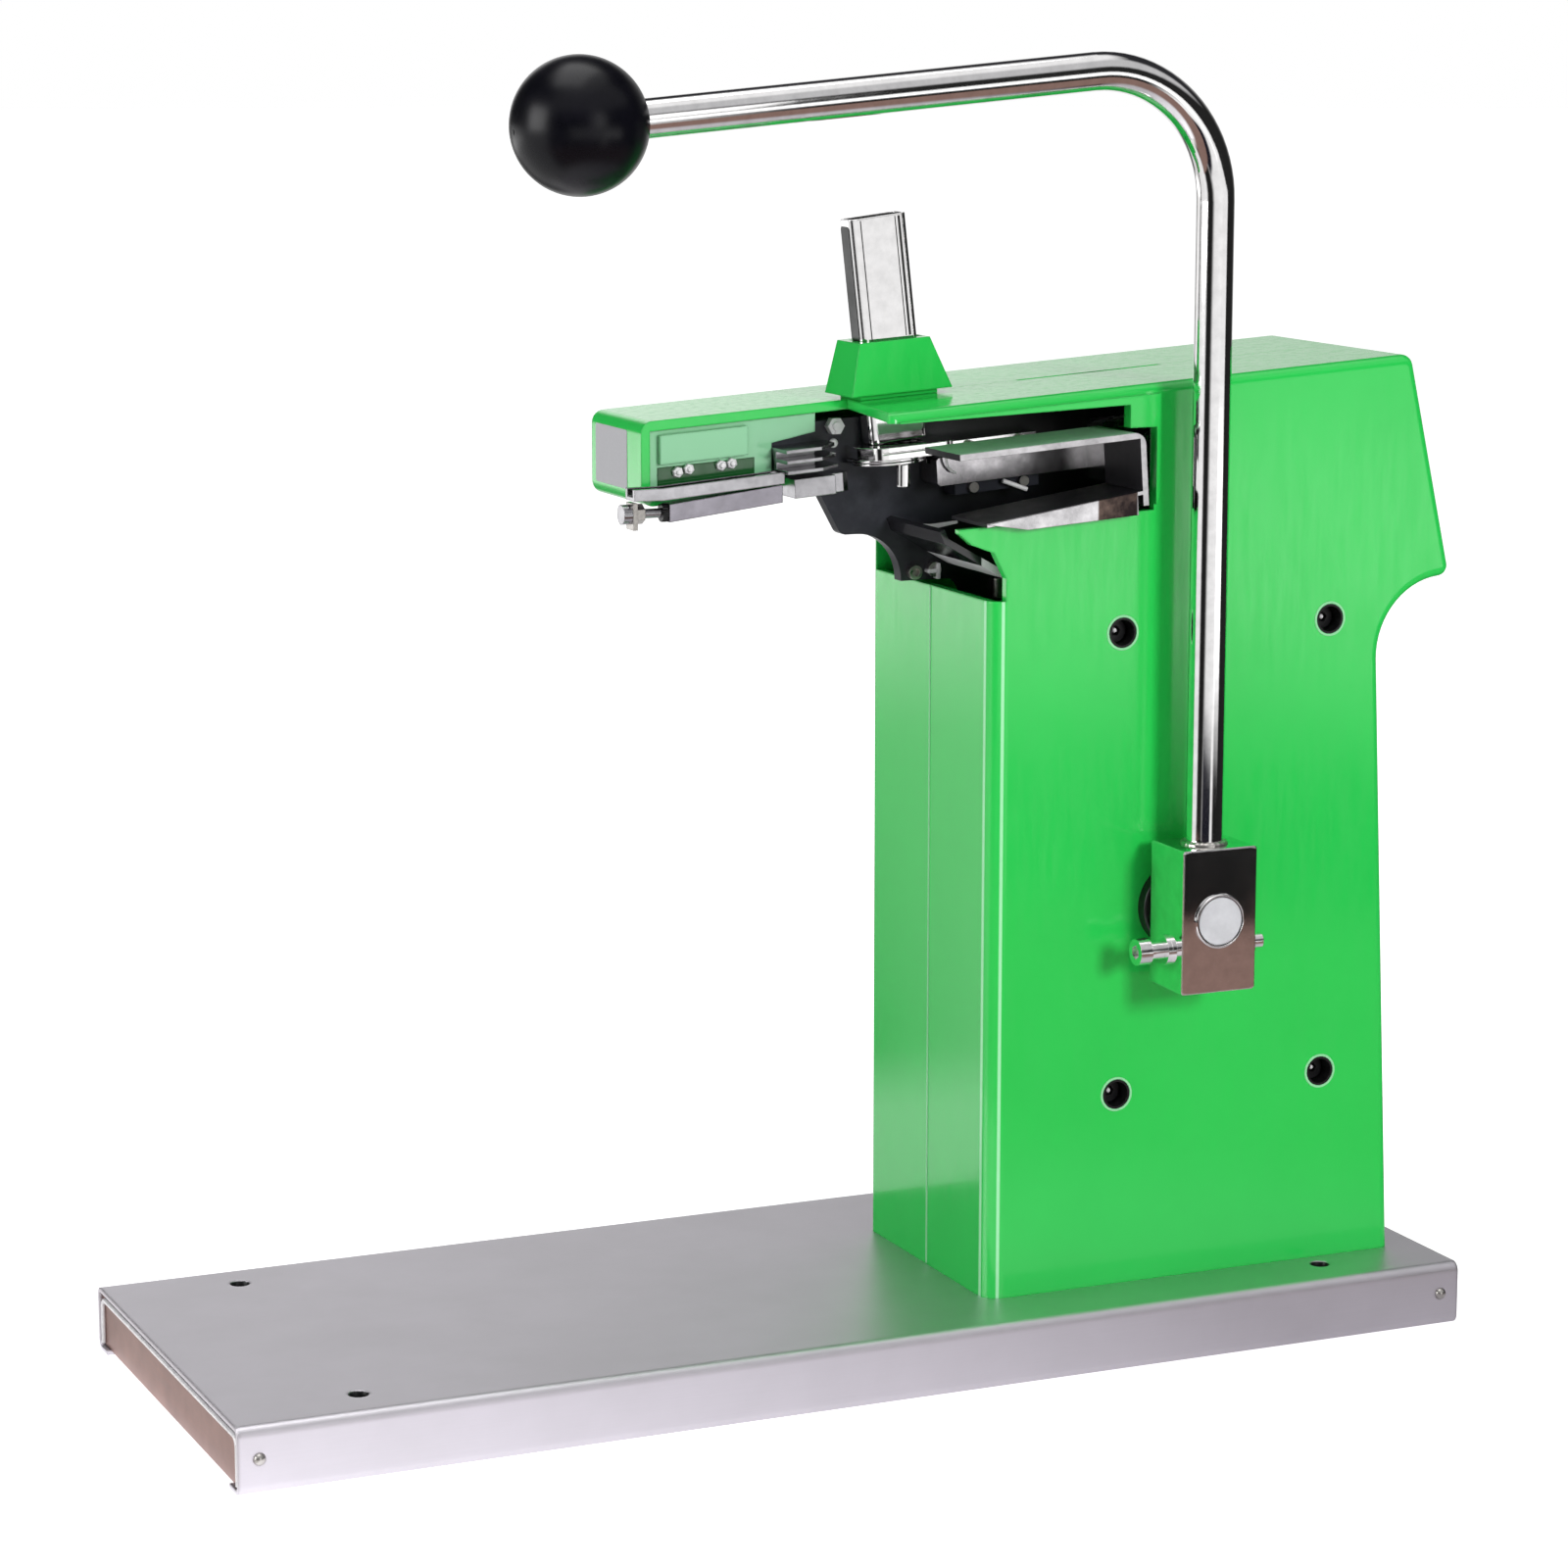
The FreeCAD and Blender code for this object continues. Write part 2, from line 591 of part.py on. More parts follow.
def column_hollow():
    """The same corners inside the wall, but for the ones at the front."""
    wall = D["shell_wall"]
    return [(D["rear_foot_x"] - wall, D["base_height"] - 1), (D["waist_x"] - wall, D["waist_z"] + wall),
            (D["tip_x"] - wall - 2.5, D["tip_z"] + wall), (D["rear_top_x"] - wall, top_at(D["rear_top_x"]) - wall)]


def round_shared_corners(body):
    """Waist, tip and top rear corner."""
    round_edges(body, D["waist_radius"], along("y", (D["waist_x"], D["waist_z"])))
    round_edges(body, D["tip_radius"], along("y", (D["tip_x"], D["tip_z"])))
    round_edges(body, D["arm_corner"], along("y", (D["rear_top_x"], top_at(D["rear_top_x"]))))


def outer_face_edges(side, keep_out):
    """A test for the edges round the outer face of a half; keep_out is the height of the foot."""
    face_y = side * D["shell_half"].value

    def test(a, b, edge):
        on_face = abs(a.y - face_y) < 0.01 and abs(b.y - face_y) < 0.01
        middle = edge.valueAt((edge.FirstParameter + edge.LastParameter) / 2)
        return on_face and middle.z > keep_out.value + 1

    return test


def post_spots():
    """Places of the four housing screws."""
    return [(x, z) for x in (D["post_front_x"], D["post_rear_x"]) for z in (D["post_low_z"], D["post_high_z"])]


def cut_top_openings(body, side):
    """Half of the slit and half of the magazine's opening, in the top of one half."""
    slit = box_loop(D["slit_start_x"], 0, D["slit_start_x"] + D["slit_length"], side * D["slit_width"] / 2)
    reach_x = D["magazine_wide"] / 2 + 1.6
    reach_y = side * (D["magazine_deep"] / 2 + 0.3)
    mouth = box_loop(D["magazine_x"] - reach_x, 0, D["magazine_x"] + reach_x, reach_y)
    high = top_at(D["rear_top_x"]) + 5
    pocket(body, "top_openings", "xy", [slit, mouth], high, high - top_at(D["head_left_x"]) + 12)


def make_near_shell():
    """Near half of the housing, with the window, the raised band round it and the screw posts."""
    body = new_body("near_shell")
    half, wall = D["shell_half"], D["shell_wall"]
    left, front = D["head_left_x"], D["front_x"]
    outline = column_outline() + [(left, top_at(left)), (left, D["lip_z"] - 4), (front, D["lip_root_z"] - 2)]
    pad(body, "outside", "xz", [outline], 0, half)
    round_shared_corners(body)
    round_edges(body, D["front_edge"], along("z", (front, -half)))
    round_edges(body, D["shell_edge"], outer_face_edges(-1, D["base_height"]))
    band_left = left + D["shell_edge"]
    band = [(band_left, D["pad_low_z"]), (D["pad_right_x"], D["pad_low_z"]),
            (D["pad_right_x"], top_at(D["pad_right_x"]) - D["shell_edge"]),
            (band_left, top_at(band_left) - D["shell_edge"])]
    pad(body, "band", "xz", [band], -half + 0.5, D["pad_proud"] + 0.5)
    round_edges(body, D["pad_corner"], along("y", (D["pad_right_x"], D["pad_low_z"])))
    hollow = [(front + wall, D["base_height"] - 1)] + column_hollow()
    hollow += [(left - 5, top_at(left - 5) - wall), (left - 5, D["lip_z"] - 20), (front + wall, D["lip_z"] - 20)]
    pocket(body, "hollow", "xz", [hollow], 0, half - wall, back=True)
    relief = D["window_right_x"] + D["carriage_relief"]
    relief_z = D["relief_top_z"]
    mouth = [(left - 20, D["window_left_z"] - 0.4), (D["window_right_x"], D["window_right_z"]),
             (D["window_right_x"], relief_z), (relief, relief_z), (relief, D["window_low_z"]),
             (D["lip_x"], D["lip_z"]), (D["lip_x"], D["lip_z"] - 1.2), (D["lip_knee_x"], D["lip_knee_z"]),
             (D["lip_bend_x"], D["lip_bend_z"]), (D["lip_root_x"], D["lip_root_z"]),
             (D["lip_root_x"], D["front_wall_z"]), (left - 20, D["front_wall_z"])]
    pocket(body, "mouth", "xz", [mouth], 0, half + 10, back=True)
    corner = [(left - 5, -half - 5), (left, -half - 5), (left, -half), (left + D["head_notch"], 0),
              (left + D["head_notch"], 1), (left - 5, 1)]
    pocket(body, "head_corner", "xy", [corner], top_at(left) + 5, 20)
    posts = [(x, z, D["post_diameter"] / 2) for x, z in post_spots()]
    frame_gap = D["frame_near_y"] - D["mid_plane"]
    pad(body, "posts", "xz", posts, frame_gap, half - wall + frame_gap)
    bores = [(x, z, D["shell_screw_diameter"] / 2 + 0.2) for x, z in post_spots()]
    pocket(body, "screw_bores", "xz", bores, -half - 5, half + 15)
    recesses = [(x, z, D["shell_screw_recess"] / 2) for x, z in post_spots()]
    pocket(body, "recesses", "xz", recesses, -half - 5, D["recess_depth"] + 5)
    bush = [(D["lever_x"], D["shaft_z"], D["shaft_diameter"] / 2 + D["bush_wall"])]
    pocket(body, "bush_hole", "xz", bush, -half - 5, 5 + wall * 2)
    cut_top_openings(body, -1)
    place(body, 0, D["mid_plane"], 0)


def make_far_shell():
    """Far half of the housing, which also forms the arm over the tray."""
    body = new_body("far_shell")
    half, wall = D["shell_half"], D["shell_wall"]
    end, front = D["arm_end_x"], D["front_x"]
    under = D["top_z"] - D["arm_depth"]
    slope = trig("tan", D["top_slope"])
    outline = column_outline() + [(end, D["top_z"]), (end, under), (front, under + (front - end) * slope)]
    pad(body, "outside", "xz", [outline], 0, half, back=True)
    round_shared_corners(body)
    round_edges(body, D["arm_corner"], along("y", (end, D["top_z"]), (end, under)))
    round_edges(body, D["shell_edge"], outer_face_edges(1, D["base_height"]))
    inner = [(front + wall, D["base_height"] - 1)] + column_hollow()
    inner += [(end + wall, D["top_z"] - wall), (end + wall, under + wall),
              (front + wall, under + wall + (front + wall - end) * slope)]
    pocket(body, "hollow", "xz", [inner], 0, half - wall)
    arm_root = under + (front - end) * slope
    doorway = box_loop(front - 1, D["front_wall_z"], front + wall + 1, arm_root)
    pocket(body, "doorway", "xz", [doorway], 0, half - wall)
    frame_far = D["frame_near_y"] + D["frame_thick"] - D["mid_plane"]
    throat = box_loop(D["jaw_left_x"] - 1.5, under - 5, front + wall + 1, arm_root + wall * 2)
    pocket(body, "throat", "xz", [throat], 0, frame_far + 0.3)
    posts = [(x, z, D["post_diameter"] / 2) for x, z in post_spots()]
    pad(body, "posts", "xz", posts, frame_far, half - wall - frame_far, back=True)
    bores = [(x, z, D["shell_screw_diameter"] / 2) for x, z in post_spots()]
    pocket(body, "screw_bores", "xz", bores, 0, frame_far + 22)
    boss_start = shaft_far() - 11 - D["mid_plane"]
    bush_radius = D["shaft_diameter"] / 2 + D["bush_wall"]
    pad(body, "bearing_boss", "xz", [(D["lever_x"], D["shaft_z"], bush_radius + 3)], boss_start,
        half - wall - boss_start, back=True)
    pocket(body, "bearing_bore", "xz", [(D["lever_x"], D["shaft_z"], bush_radius)], 0, half - wall)
    cut_top_openings(body, 1)
    place(body, 0, D["mid_plane"], 0)


def make_shell_screws():
    """Four cap screws that draw the halves together on the frame plate."""
    screws = []
    seat = D["mid_plane"] - D["shell_half"] + D["recess_depth"]
    length = D["frame_near_y"] + D["frame_thick"] + 18 - seat
    for i, (x, z) in enumerate(post_spots()):
        head = cylinder(f"shell_head_{i}", D["shell_screw_head"] / 2, 4, x, seat, z, "-y")
        shank = cylinder(f"shell_shank_{i}", D["shell_screw_diameter"] / 2 - 0.05, length, x, seat, z, "y")
        socket = hex_socket(f"shell_socket_{i}", 3.0, 2.2, x, seat - 4, z, -1)
        screws.append(cut(f"shell_screw_{i}", fuse(f"shell_whole_{i}", [head, shank]), socket))
    group("shell_screws", screws)


# ---------------------------------------------------------------- frame

def make_frame_plate():
    """Painted steel plate: a column on the base and a head that reaches into the arm."""
    body = new_body("frame_plate")
    top_gap, foot = D["frame_top_gap"], D["base_height"]
    arm_left = D["arm_end_x"] + 7
    arm_under = D["top_z"] - D["arm_depth"] + 7
    crown = D["frame_throat_z"] + D["throat_radius"] + 0.3
    slant_x = D["frame_tip_x"] + D["throat_slant"]
    outline = [(D["frame_front_x"], foot), (D["frame_rear_x"], foot),
               (D["waist_x"] - 12, D["waist_z"]), (D["waist_x"] - 12, top_at(D["waist_x"] - 12) - top_gap),
               (arm_left, top_at(arm_left) - top_gap), (arm_left, arm_under),
               (D["jaw_left_x"], arm_under + 3), (D["frame_tip_x"], D["frame_tip_z"]), (slant_x, crown),
               (D["frame_throat_x"], crown), (D["frame_throat_x"], D["frame_throat_z"]),
               (D["frame_front_x"], D["frame_throat_z"])]
    back = D["frame_near_y"] + D["frame_thick"]
    pad(body, "plate", "xz", [outline], back, D["frame_thick"])
    round_edges(body, D["throat_radius"], along("y", (D["frame_throat_x"], crown)))
    round_edges(body, 3, along("y", (slant_x, crown)))
    round_edges(body, 6, along("y", (D["frame_front_x"], D["frame_throat_z"]), (arm_left, arm_under)))
    holes = [(x, z, D["shell_screw_diameter"] / 2 + 0.2) for x, z in post_spots()]
    holes.append((D["lever_x"], D["shaft_z"], D["shaft_diameter"] / 2 + D["bush_wall"]))
    holes.append((D["lever_x"], D["pivot_z"], D["pivot_diameter"] / 2))
    pocket(body, "holes", "xz", holes, back, D["frame_thick"], back=True)


def make_frame_feet():
    """Two angles that stand the frame plate on the base."""
    middle = (D["frame_front_x"] + D["frame_rear_x"]) / 2
    half = D["foot_length"] / 2
    for label, face, side in (("near_foot", D["frame_near_y"], -1),
                              ("far_foot", D["frame_near_y"] + D["frame_thick"], 1)):
        body = new_body(label)
        low = D["base_height"]
        section = [(face, low), (face + side * D["foot_leg"], low),
                   (face + side * D["foot_leg"], low + D["foot_sheet"]),
                   (face + side * D["foot_sheet"], low + D["foot_sheet"]),
                   (face + side * D["foot_sheet"], low + D["foot_leg"]), (face, low + D["foot_leg"])]
        pad(body, "angle", "yz", [section], middle - half, D["foot_length"])
        round_edges(body, 3, along("x", (face + side * D["foot_sheet"], low + D["foot_sheet"])))
        holes = [(x, y, D["foot_bolt"] / 2 + 0.3) for x, y in foot_bolt_spots()
                 if (y.value - face.value) * side > 0]
        pocket(body, "holes", "xy", holes, low + D["foot_sheet"], D["foot_sheet"])


def make_foot_bolts():
    """Four bolts with nuts through the feet and the base's top."""
    bolts = []
    seat = D["base_height"] + D["foot_sheet"]
    under = D["base_height"] - D["base_sheet"]
    for i, (x, y) in enumerate(foot_bolt_spots()):
        head = hex_prism(f"foot_head_{i}", D["foot_bolt"] * 1.65, D["foot_bolt"] * 0.65, x, y, seat, "z")
        shank = cylinder(f"foot_shank_{i}", D["foot_bolt"] / 2, seat - under + D["foot_bolt"], x, y,
                         under - D["foot_bolt"], "z")
        nut = hex_prism(f"foot_nut_{i}", D["foot_bolt"] * 1.65, D["foot_bolt"] * 0.8, x, y,
                        under - D["foot_bolt"] * 0.8, "z")
        bolts.append(fuse(f"foot_bolt_{i}", [head, shank, nut]))
    group("foot_bolts", bolts)


def shaft_far():
    """Far end of the shaft, short of the far wall."""
    return D["mid_plane"] + D["shell_half"] - D["shell_wall"] - D["shaft_end_gap"]


def lever_plane():
    """Plane of the lever: the thrust washer holds its block off the near bush."""
    bush_face = D["mid_plane"] - D["shell_half"] - D["flange_thick"]
    return bush_face - D["washer_play"] - D["washer_thick"] - D["block_deep"] / 2


def make_bushes():
    """Flanged near bush, plain bush in the frame plate and plain far bush."""
    shaft = D["shaft_diameter"] / 2
    outside = shaft + D["bush_wall"]
    bore = shaft + D["bush_clearance"]
    near_face = D["mid_plane"] - D["shell_half"]
    x, z = D["lever_x"], D["shaft_z"]
    near = new_body("near_bush")
    pad(near, "barrel", "xz", [(x, z, outside), (x, z, bore)], near_face + 9, 9)
    pad(near, "flange", "xz", [(x, z, D["flange_diameter"] / 2), (x, z, bore)], near_face, D["flange_thick"])
    round_edges(near, 1.0, lambda a, b, e: abs(a.y - (near_face - D["flange_thick"]).value) < 0.01
                and e.Length > 6 * D["shaft_diameter"].value / 2 * 1.1)
    middle = new_body("frame_bush")
    pad(middle, "barrel", "xz", [(x, z, outside), (x, z, bore)], D["frame_near_y"] + D["frame_thick"] + 4,
        D["frame_thick"] + 8)
    far = new_body("far_bush")
    pad(far, "barrel", "xz", [(x, z, outside), (x, z, bore)], shaft_far() + 1, 12)


def make_pivot_stud():
    """Shouldered stud on the frame plate that carries the bell crank."""
    near = D["crank_near_y"] - D["side_gap"]
    radius = D["pivot_diameter"] / 2
    x, z = D["lever_x"], D["pivot_z"]
    shank = cylinder("stud_shank", radius, D["frame_near_y"] + D["frame_thick"] - near, x, near, z, "y")
    collar = cylinder("stud_collar", radius + 4, D["frame_near_y"] - D["crank_near_y"] - D["crank_thick"]
                      - D["side_gap"], x, D["frame_near_y"], z, "-y")
    cap = cylinder("stud_cap", radius + 3, 3, x, near, z, "-y")
    keep("bell_crank_stud", fuse("stud_whole", [shank, collar, cap]))


def crank_pin_spot(angle):
    """Crank pin about its own centre, at an angle from +X in degrees."""
    return D["crank_radius"] * trig("cos", angle), D["crank_radius"] * trig("sin", angle)


def make_stop_and_anchor():
    """Rubber stop under the crank and the stud that holds the spring's lower end."""
    dx, dz = crank_pin_spot(-D["crank_swing"])
    across = D["crank_web"] / 2 + D["stop_diameter"] / 2 + 0.4
    sin_a, cos_a = trig("sin", D["crank_swing"]), trig("cos", D["crank_swing"])
    x = D["lever_x"] + dx * 0.62 - across * sin_a
    z = D["shaft_z"] + dz * 0.62 - across * cos_a
    length = D["frame_near_y"] - D["crank_near_y"]
    keep("crank_stop", cylinder("stop_pad", D["stop_diameter"] / 2, length, x, D["frame_near_y"], z, "-y"))
    spring_x = D["lever_x"] + dx
    stud = cylinder("anchor_stud", D["pin_diameter"] / 2, spring_depth() + 4, spring_x, D["frame_near_y"],
                    D["spring_anchor_z"], "-y")
    keep("spring_anchor", stud)


def spring_depth():
    """Spring's centre line in front of the frame plate."""
    return D["frame_near_y"] - D["crank_near_y"] - D["crank_thick"] - D["side_gap"] - D["spring_diameter"] / 2 - 1


def make_return_spring():
    """Extension spring between the crank pin's tail and its anchor: a coil with a ring at each end."""
    dx, dz = crank_pin_spot(-D["crank_swing"])
    x = (D["lever_x"] + dx).value
    y = (D["frame_near_y"] - spring_depth()).value
    high = (D["shaft_z"] + dz).value
    low = D["spring_anchor_z"].value
    wire = D["spring_wire"].value / 2
    ring = D["pin_diameter"].value / 2 + wire + 0.3
    coil = D["spring_diameter"].value / 2
    start, end = low + ring + 6, high - ring - 6
    helix = Part.makeHelix((end - start) / 12, end - start, coil)
    profile = Part.Wire([Part.Circle(Vector(coil, 0, 0), Vector(0, 1, 0), wire).toShape()])
    winding = Part.Wire(helix.Edges).makePipeShell([profile], True, True)
    winding.translate(Vector(x, y, start))
    solids = [winding]
    for ring_z, coil_z, way in ((low, start, 1), (high, end, -1)):
        hook = Part.makeTorus(ring, wire, Vector(x, y, ring_z), Vector(0, 1, 0))
        tail_from = ring_z + way * ring
        tail = Part.makeCylinder(wire, abs(coil_z - tail_from), Vector(x, y, tail_from), Vector(0, 0, way))
        knee = Part.makeSphere(wire, Vector(x, y, coil_z))
        bar = Part.makeCylinder(wire, coil - wire, Vector(x, y, coil_z), Vector(1, 0, 0))
        solids.append(hook.fuse(tail).fuse(knee).fuse(bar).removeSplitter())
    spring = doc.addObject("Part::Feature", "return_spring")
    spring.Shape = Part.makeCompound(solids)
    exported.append(spring)


# ---------------------------------------------------------------- lever

def make_clamp_block():
    """Steel block that clamps the shaft and takes the rod in its top."""
    body = new_body("clamp_block")
    wide, high, deep = D["block_width"] / 2, D["block_height"] / 2, D["block_deep"] / 2
    bore = (0, 0, D["shaft_diameter"] / 2)
    pad(body, "block", "xz", [box_loop(-wide, -high, wide, high), bore], deep, D["block_deep"])
    slit = box_loop(-D["block_slit"] / 2, -high - 1, D["block_slit"] / 2, 0)
    pocket(body, "slit", "xz", [slit], deep + 1, D["block_deep"] + 2, back=True)
    pinch = (0, -D["pinch_drop"], D["pinch_diameter"] / 2 + 0.15)
    pocket(body, "pinch_bore", "yz", [pinch], wide + 1, D["block_width"] + 2)
    pocket(body, "rod_bore", "xy", [(0, 0, D["rod_diameter"] / 2)], high, D["rod_seat"])
    dress(body, "Chamfer", pick(body, along("y", (-wide, -high), (wide, -high), (-wide, high), (wide, high))), 0.6)
    place(body, D["lever_x"], lever_plane(), D["shaft_z"])


def make_lever_rod():
    """Bent rod from the block up and over to the knob."""
    body = new_body("lever_rod")
    slope = D["rod_slope"]
    foot = D["shaft_z"] + D["block_height"] / 2 - D["rod_seat"]
    turn = math.radians(90 + slope.value)
    reach = D["rod_bend"].value * math.tan(turn / 2)
    corner = Vector(D["lever_x"].value, D["rod_corner_z"].value, 0)
    left = Vector(-math.cos(math.radians(slope.value)), -math.sin(math.radians(slope.value)), 0)
    rod_start = Vector(corner.x, foot.value, 0)
    bend_low = Vector(corner.x, corner.y - reach, 0)
    bend_high = corner + left * reach
    run = (corner.x - D["knob_x"].value) / math.cos(math.radians(slope.value))
    inside = D["knob_diameter"].value / 2 - D["knob_seat"].value
    rod_end = corner + left * (run - inside)
    centre = Vector(corner.x - D["rod_bend"].value, bend_low.y, 0)
    path = new_sketch(body, "xz", 0, "path")
    arc_end = math.pi / 2 + math.radians(slope.value)
    low = path.addGeometry(Part.LineSegment(rod_start, bend_low))
    arc = path.addGeometry(Part.ArcOfCircle(Part.Circle(centre, Vector(0, 0, 1), D["rod_bend"].value), 0, arc_end))
    high = path.addGeometry(Part.LineSegment(bend_high, rod_end))
    for first, first_end, second, second_end in ((low, 2, arc, 1), (arc, 2, high, 1)):
        path.addConstraint(Sketcher.Constraint("Tangent", first, first_end, second, second_end))
    path.addConstraint(Sketcher.Constraint("Vertical", low))
    hold_point(path, low, 1, D["lever_x"], foot)
    bend_foot = D["rod_corner_z"] - D["rod_bend"] * trig("tan", (90 + slope) / 2)
    index = path.addConstraint(Sketcher.Constraint("DistanceY", -1, 1, low, 2, bend_foot.value))
    bind(path, f"Constraints[{index}]", bend_foot)
    index = path.addConstraint(Sketcher.Constraint("Radius", arc, D["rod_bend"].value))
    bind(path, f"Constraints[{index}]", D["rod_bend"])
    far = D["lever_x"] - D["knob_x"] - (D["knob_diameter"] / 2 - D["knob_seat"]) * trig("cos", slope)
    hold_point(path, high, 2, D["lever_x"] - far, D["rod_corner_z"] - far * trig("tan", slope))
    section = new_sketch(body, "xy", foot, "section")
    draw(section, [(D["lever_x"], 0, D["rod_diameter"] / 2)])
    doc.recompute()
    rod = body.newObject("PartDesign::AdditivePipe", "lever_rod_pipe")
    rod.Profile = section
    rod.Spine = (path, [f"Edge{i}" for i in (1, 2, 3)])
    doc.recompute()
    place(body, 0, lever_plane(), 0)


def make_knob():
    """Ball knob with a flat where the rod enters."""
    body = new_body("knob")
    radius = D["knob_diameter"] / 2
    section = new_sketch(body, "xz", 0, "half_section")
    flat = 0.93
    start = math.acos(flat)
    arc = section.addGeometry(Part.ArcOfCircle(Part.Circle(Vector(), Vector(0, 0, 1), radius.value), start, math.pi))
    axis = section.addGeometry(Part.LineSegment(Vector(-radius.value, 0, 0), Vector(radius.value * flat, 0, 0)))
    face = section.addGeometry(Part.LineSegment(Vector(radius.value * flat, 0, 0),
                                                Vector(radius.value * flat, radius.value * math.sin(start), 0)))
    add = section.addConstraint
    add(Sketcher.Constraint("Coincident", arc, 3, -1, 1))
    add(Sketcher.Constraint("Coincident", arc, 2, axis, 1))
    add(Sketcher.Constraint("Coincident", axis, 2, face, 1))
    add(Sketcher.Constraint("Coincident", face, 2, arc, 1))
    add(Sketcher.Constraint("PointOnObject", axis, 1, -1))
    add(Sketcher.Constraint("Vertical", face))
    index = add(Sketcher.Constraint("Radius", arc, radius.value))
    bind(section, f"Constraints[{index}]", radius)
    hold_point(section, axis, 2, radius * flat, 0)
    doc.recompute()
    ball = body.newObject("PartDesign::Revolution", "knob_ball")
    ball.Profile = section
    ball.ReferenceAxis = (section, ["H_Axis"])
    ball.Angle = 360
    doc.recompute()
    pocket(body, "bore", "yz", [(0, 0, D["rod_diameter"] / 2 + 0.02)], radius, D["knob_seat"] + 0.05)
    drop = (D["lever_x"] - D["knob_x"]) * trig("tan", D["rod_slope"])
    place(body, D["knob_x"], lever_plane(), D["rod_corner_z"] - drop, D["rod_slope"])


def make_pinch_bolt():
    """Cap screw across the block's saw cut, with a spring washer under its head, and its nut."""
    x_left = D["lever_x"] - D["block_width"] / 2
    x_right = D["lever_x"] + D["block_width"] / 2
    y, z = lever_plane(), D["shaft_z"] - D["pinch_drop"]
    radius = D["pinch_diameter"] / 2
    head = cylinder("pinch_head", radius * 1.7, radius * 1.7, x_left - 11, y, z, "x")
    sleeve = cylinder("pinch_sleeve", radius * 1.15, 7, x_left - 8.5, y, z, "x")
    shank = cylinder("pinch_shank", radius, D["block_width"] + 19, x_left - 11, y, z, "x")
    bore = hex_prism("pinch_socket", radius * 1.6, 2.4, x_left - 11, y, z, "x")
    keep("pinch_bolt", cut("pinch_bolt_cut", fuse("pinch_whole", [head, sleeve, shank]), bore))
    ring = cylinder("pinch_washer_ring", radius * 1.95, 1.5, x_left - 1.5, y, z, "x")
    hole = cylinder("pinch_washer_hole", radius + 0.1, 3, x_left - 2, y, z, "x")
    keep("pinch_washer", cut("pinch_washer_cut", ring, hole))
    nut = hex_prism("pinch_nut_hex", radius * 3.2, radius * 1.6, x_right, y, z, "x")
    nut_hole = cylinder("pinch_nut_hole", radius, radius * 1.6 + 2, x_right - 1, y, z, "x")
    keep("pinch_nut", cut("pinch_nut_cut", nut, nut_hole))


def make_shaft():
    """Pivot shaft with chamfered ends."""
    body = new_body("pivot_shaft")
    near = lever_plane() - D["block_deep"] / 2 - 0.8
    pad(body, "round", "xz", [(D["lever_x"], D["shaft_z"], D["shaft_diameter"] / 2)], shaft_far(),
        shaft_far() - near)
    dress(body, "Chamfer", pick(body, lambda a, b, e: e.Length > 20 and abs(a.y - b.y) < 0.01), 0.8)


def make_thrust_washer():
    """Steel washer between the clamp block and the near bush."""
    front_of_bush = D["mid_plane"] - D["shell_half"] - D["flange_thick"]
    body = new_body("thrust_washer")
    rings = [(D["lever_x"], D["shaft_z"], D["shaft_diameter"] / 2 + 4.5),
             (D["lever_x"], D["shaft_z"], D["shaft_diameter"] / 2)]
    pad(body, "ring", "xz", rings, front_of_bush - D["washer_play"], D["washer_thick"])


def arm_web(angle, width):
    """The four corners of an arm from the centre to the crank radius, at an angle in degrees."""
    dx, dz = crank_pin_spot(angle)
    px, pz = -trig("sin", angle) * width / 2, trig("cos", angle) * width / 2
    return [(px, pz), (-px, -pz), (dx - px, dz - pz), (dx + px, dz + pz)]


def make_crank():
    """Crank arm on the shaft, with its hub drawn out towards the near bush."""
    body = new_body("crank_arm")
    angle = -D["crank_swing"]
    dx, dz = crank_pin_spot(angle)
    thick, shaft = D["crank_thick"], D["shaft_diameter"] / 2
    back = D["crank_near_y"] + thick
    pad(body, "hub", "xz", [(0, 0, shaft + 6.5)], back, thick + D["hub_proud"])
    pad(body, "web", "xz", [arm_web(angle, D["crank_web"])], back, thick)
    pad(body, "boss", "xz", [(dx, dz, D["crank_boss"] / 2)], back, thick)
    pocket(body, "bores", "xz", [(0, 0, shaft), (dx, dz, D["pin_diameter"] / 2)],
           back - thick - D["hub_proud"], thick + D["hub_proud"])
    place(body, D["lever_x"], 0, D["shaft_z"])


def make_crank_pins():
    """Crank pin with its spring tail, the bell crank's link pin and its drive pin."""
    dx, dz = crank_pin_spot(-D["crank_swing"])
    radius, head = D["pin_diameter"] / 2, D["pin_head"] / 2
    crank_back = D["crank_near_y"] + D["crank_thick"]
    link_near = D["crank_near_y"] - D["side_gap"] * 2 - D["link_thick"]
    for label, z, tail in (("crank_pin", D["shaft_z"] + dz, 11), ("link_pin", D["pivot_z"] + dz, 0)):
        x = D["lever_x"] + dx
        shank = cylinder(f"{label}_shank", radius, crank_back + tail - link_near, x, link_near, z, "y")
        cap = cylinder(f"{label}_cap", head, 2, x, link_near, z, "-y")
        keep(label, fuse(f"{label}_whole", [shank, cap]))
    up_angle = as_size(90) + D["head_tilt"] - D["crank_swing"]
    ux, uz = crank_pin_spot(up_angle)
    end = D["frame_near_y"] - D["bar_back_gap"] - 0.6
    keep("drive_pin", cylinder("drive_pin_round", radius, end - D["crank_near_y"], D["lever_x"] + ux,
                               D["crank_near_y"], D["pivot_z"] + uz, "y"))


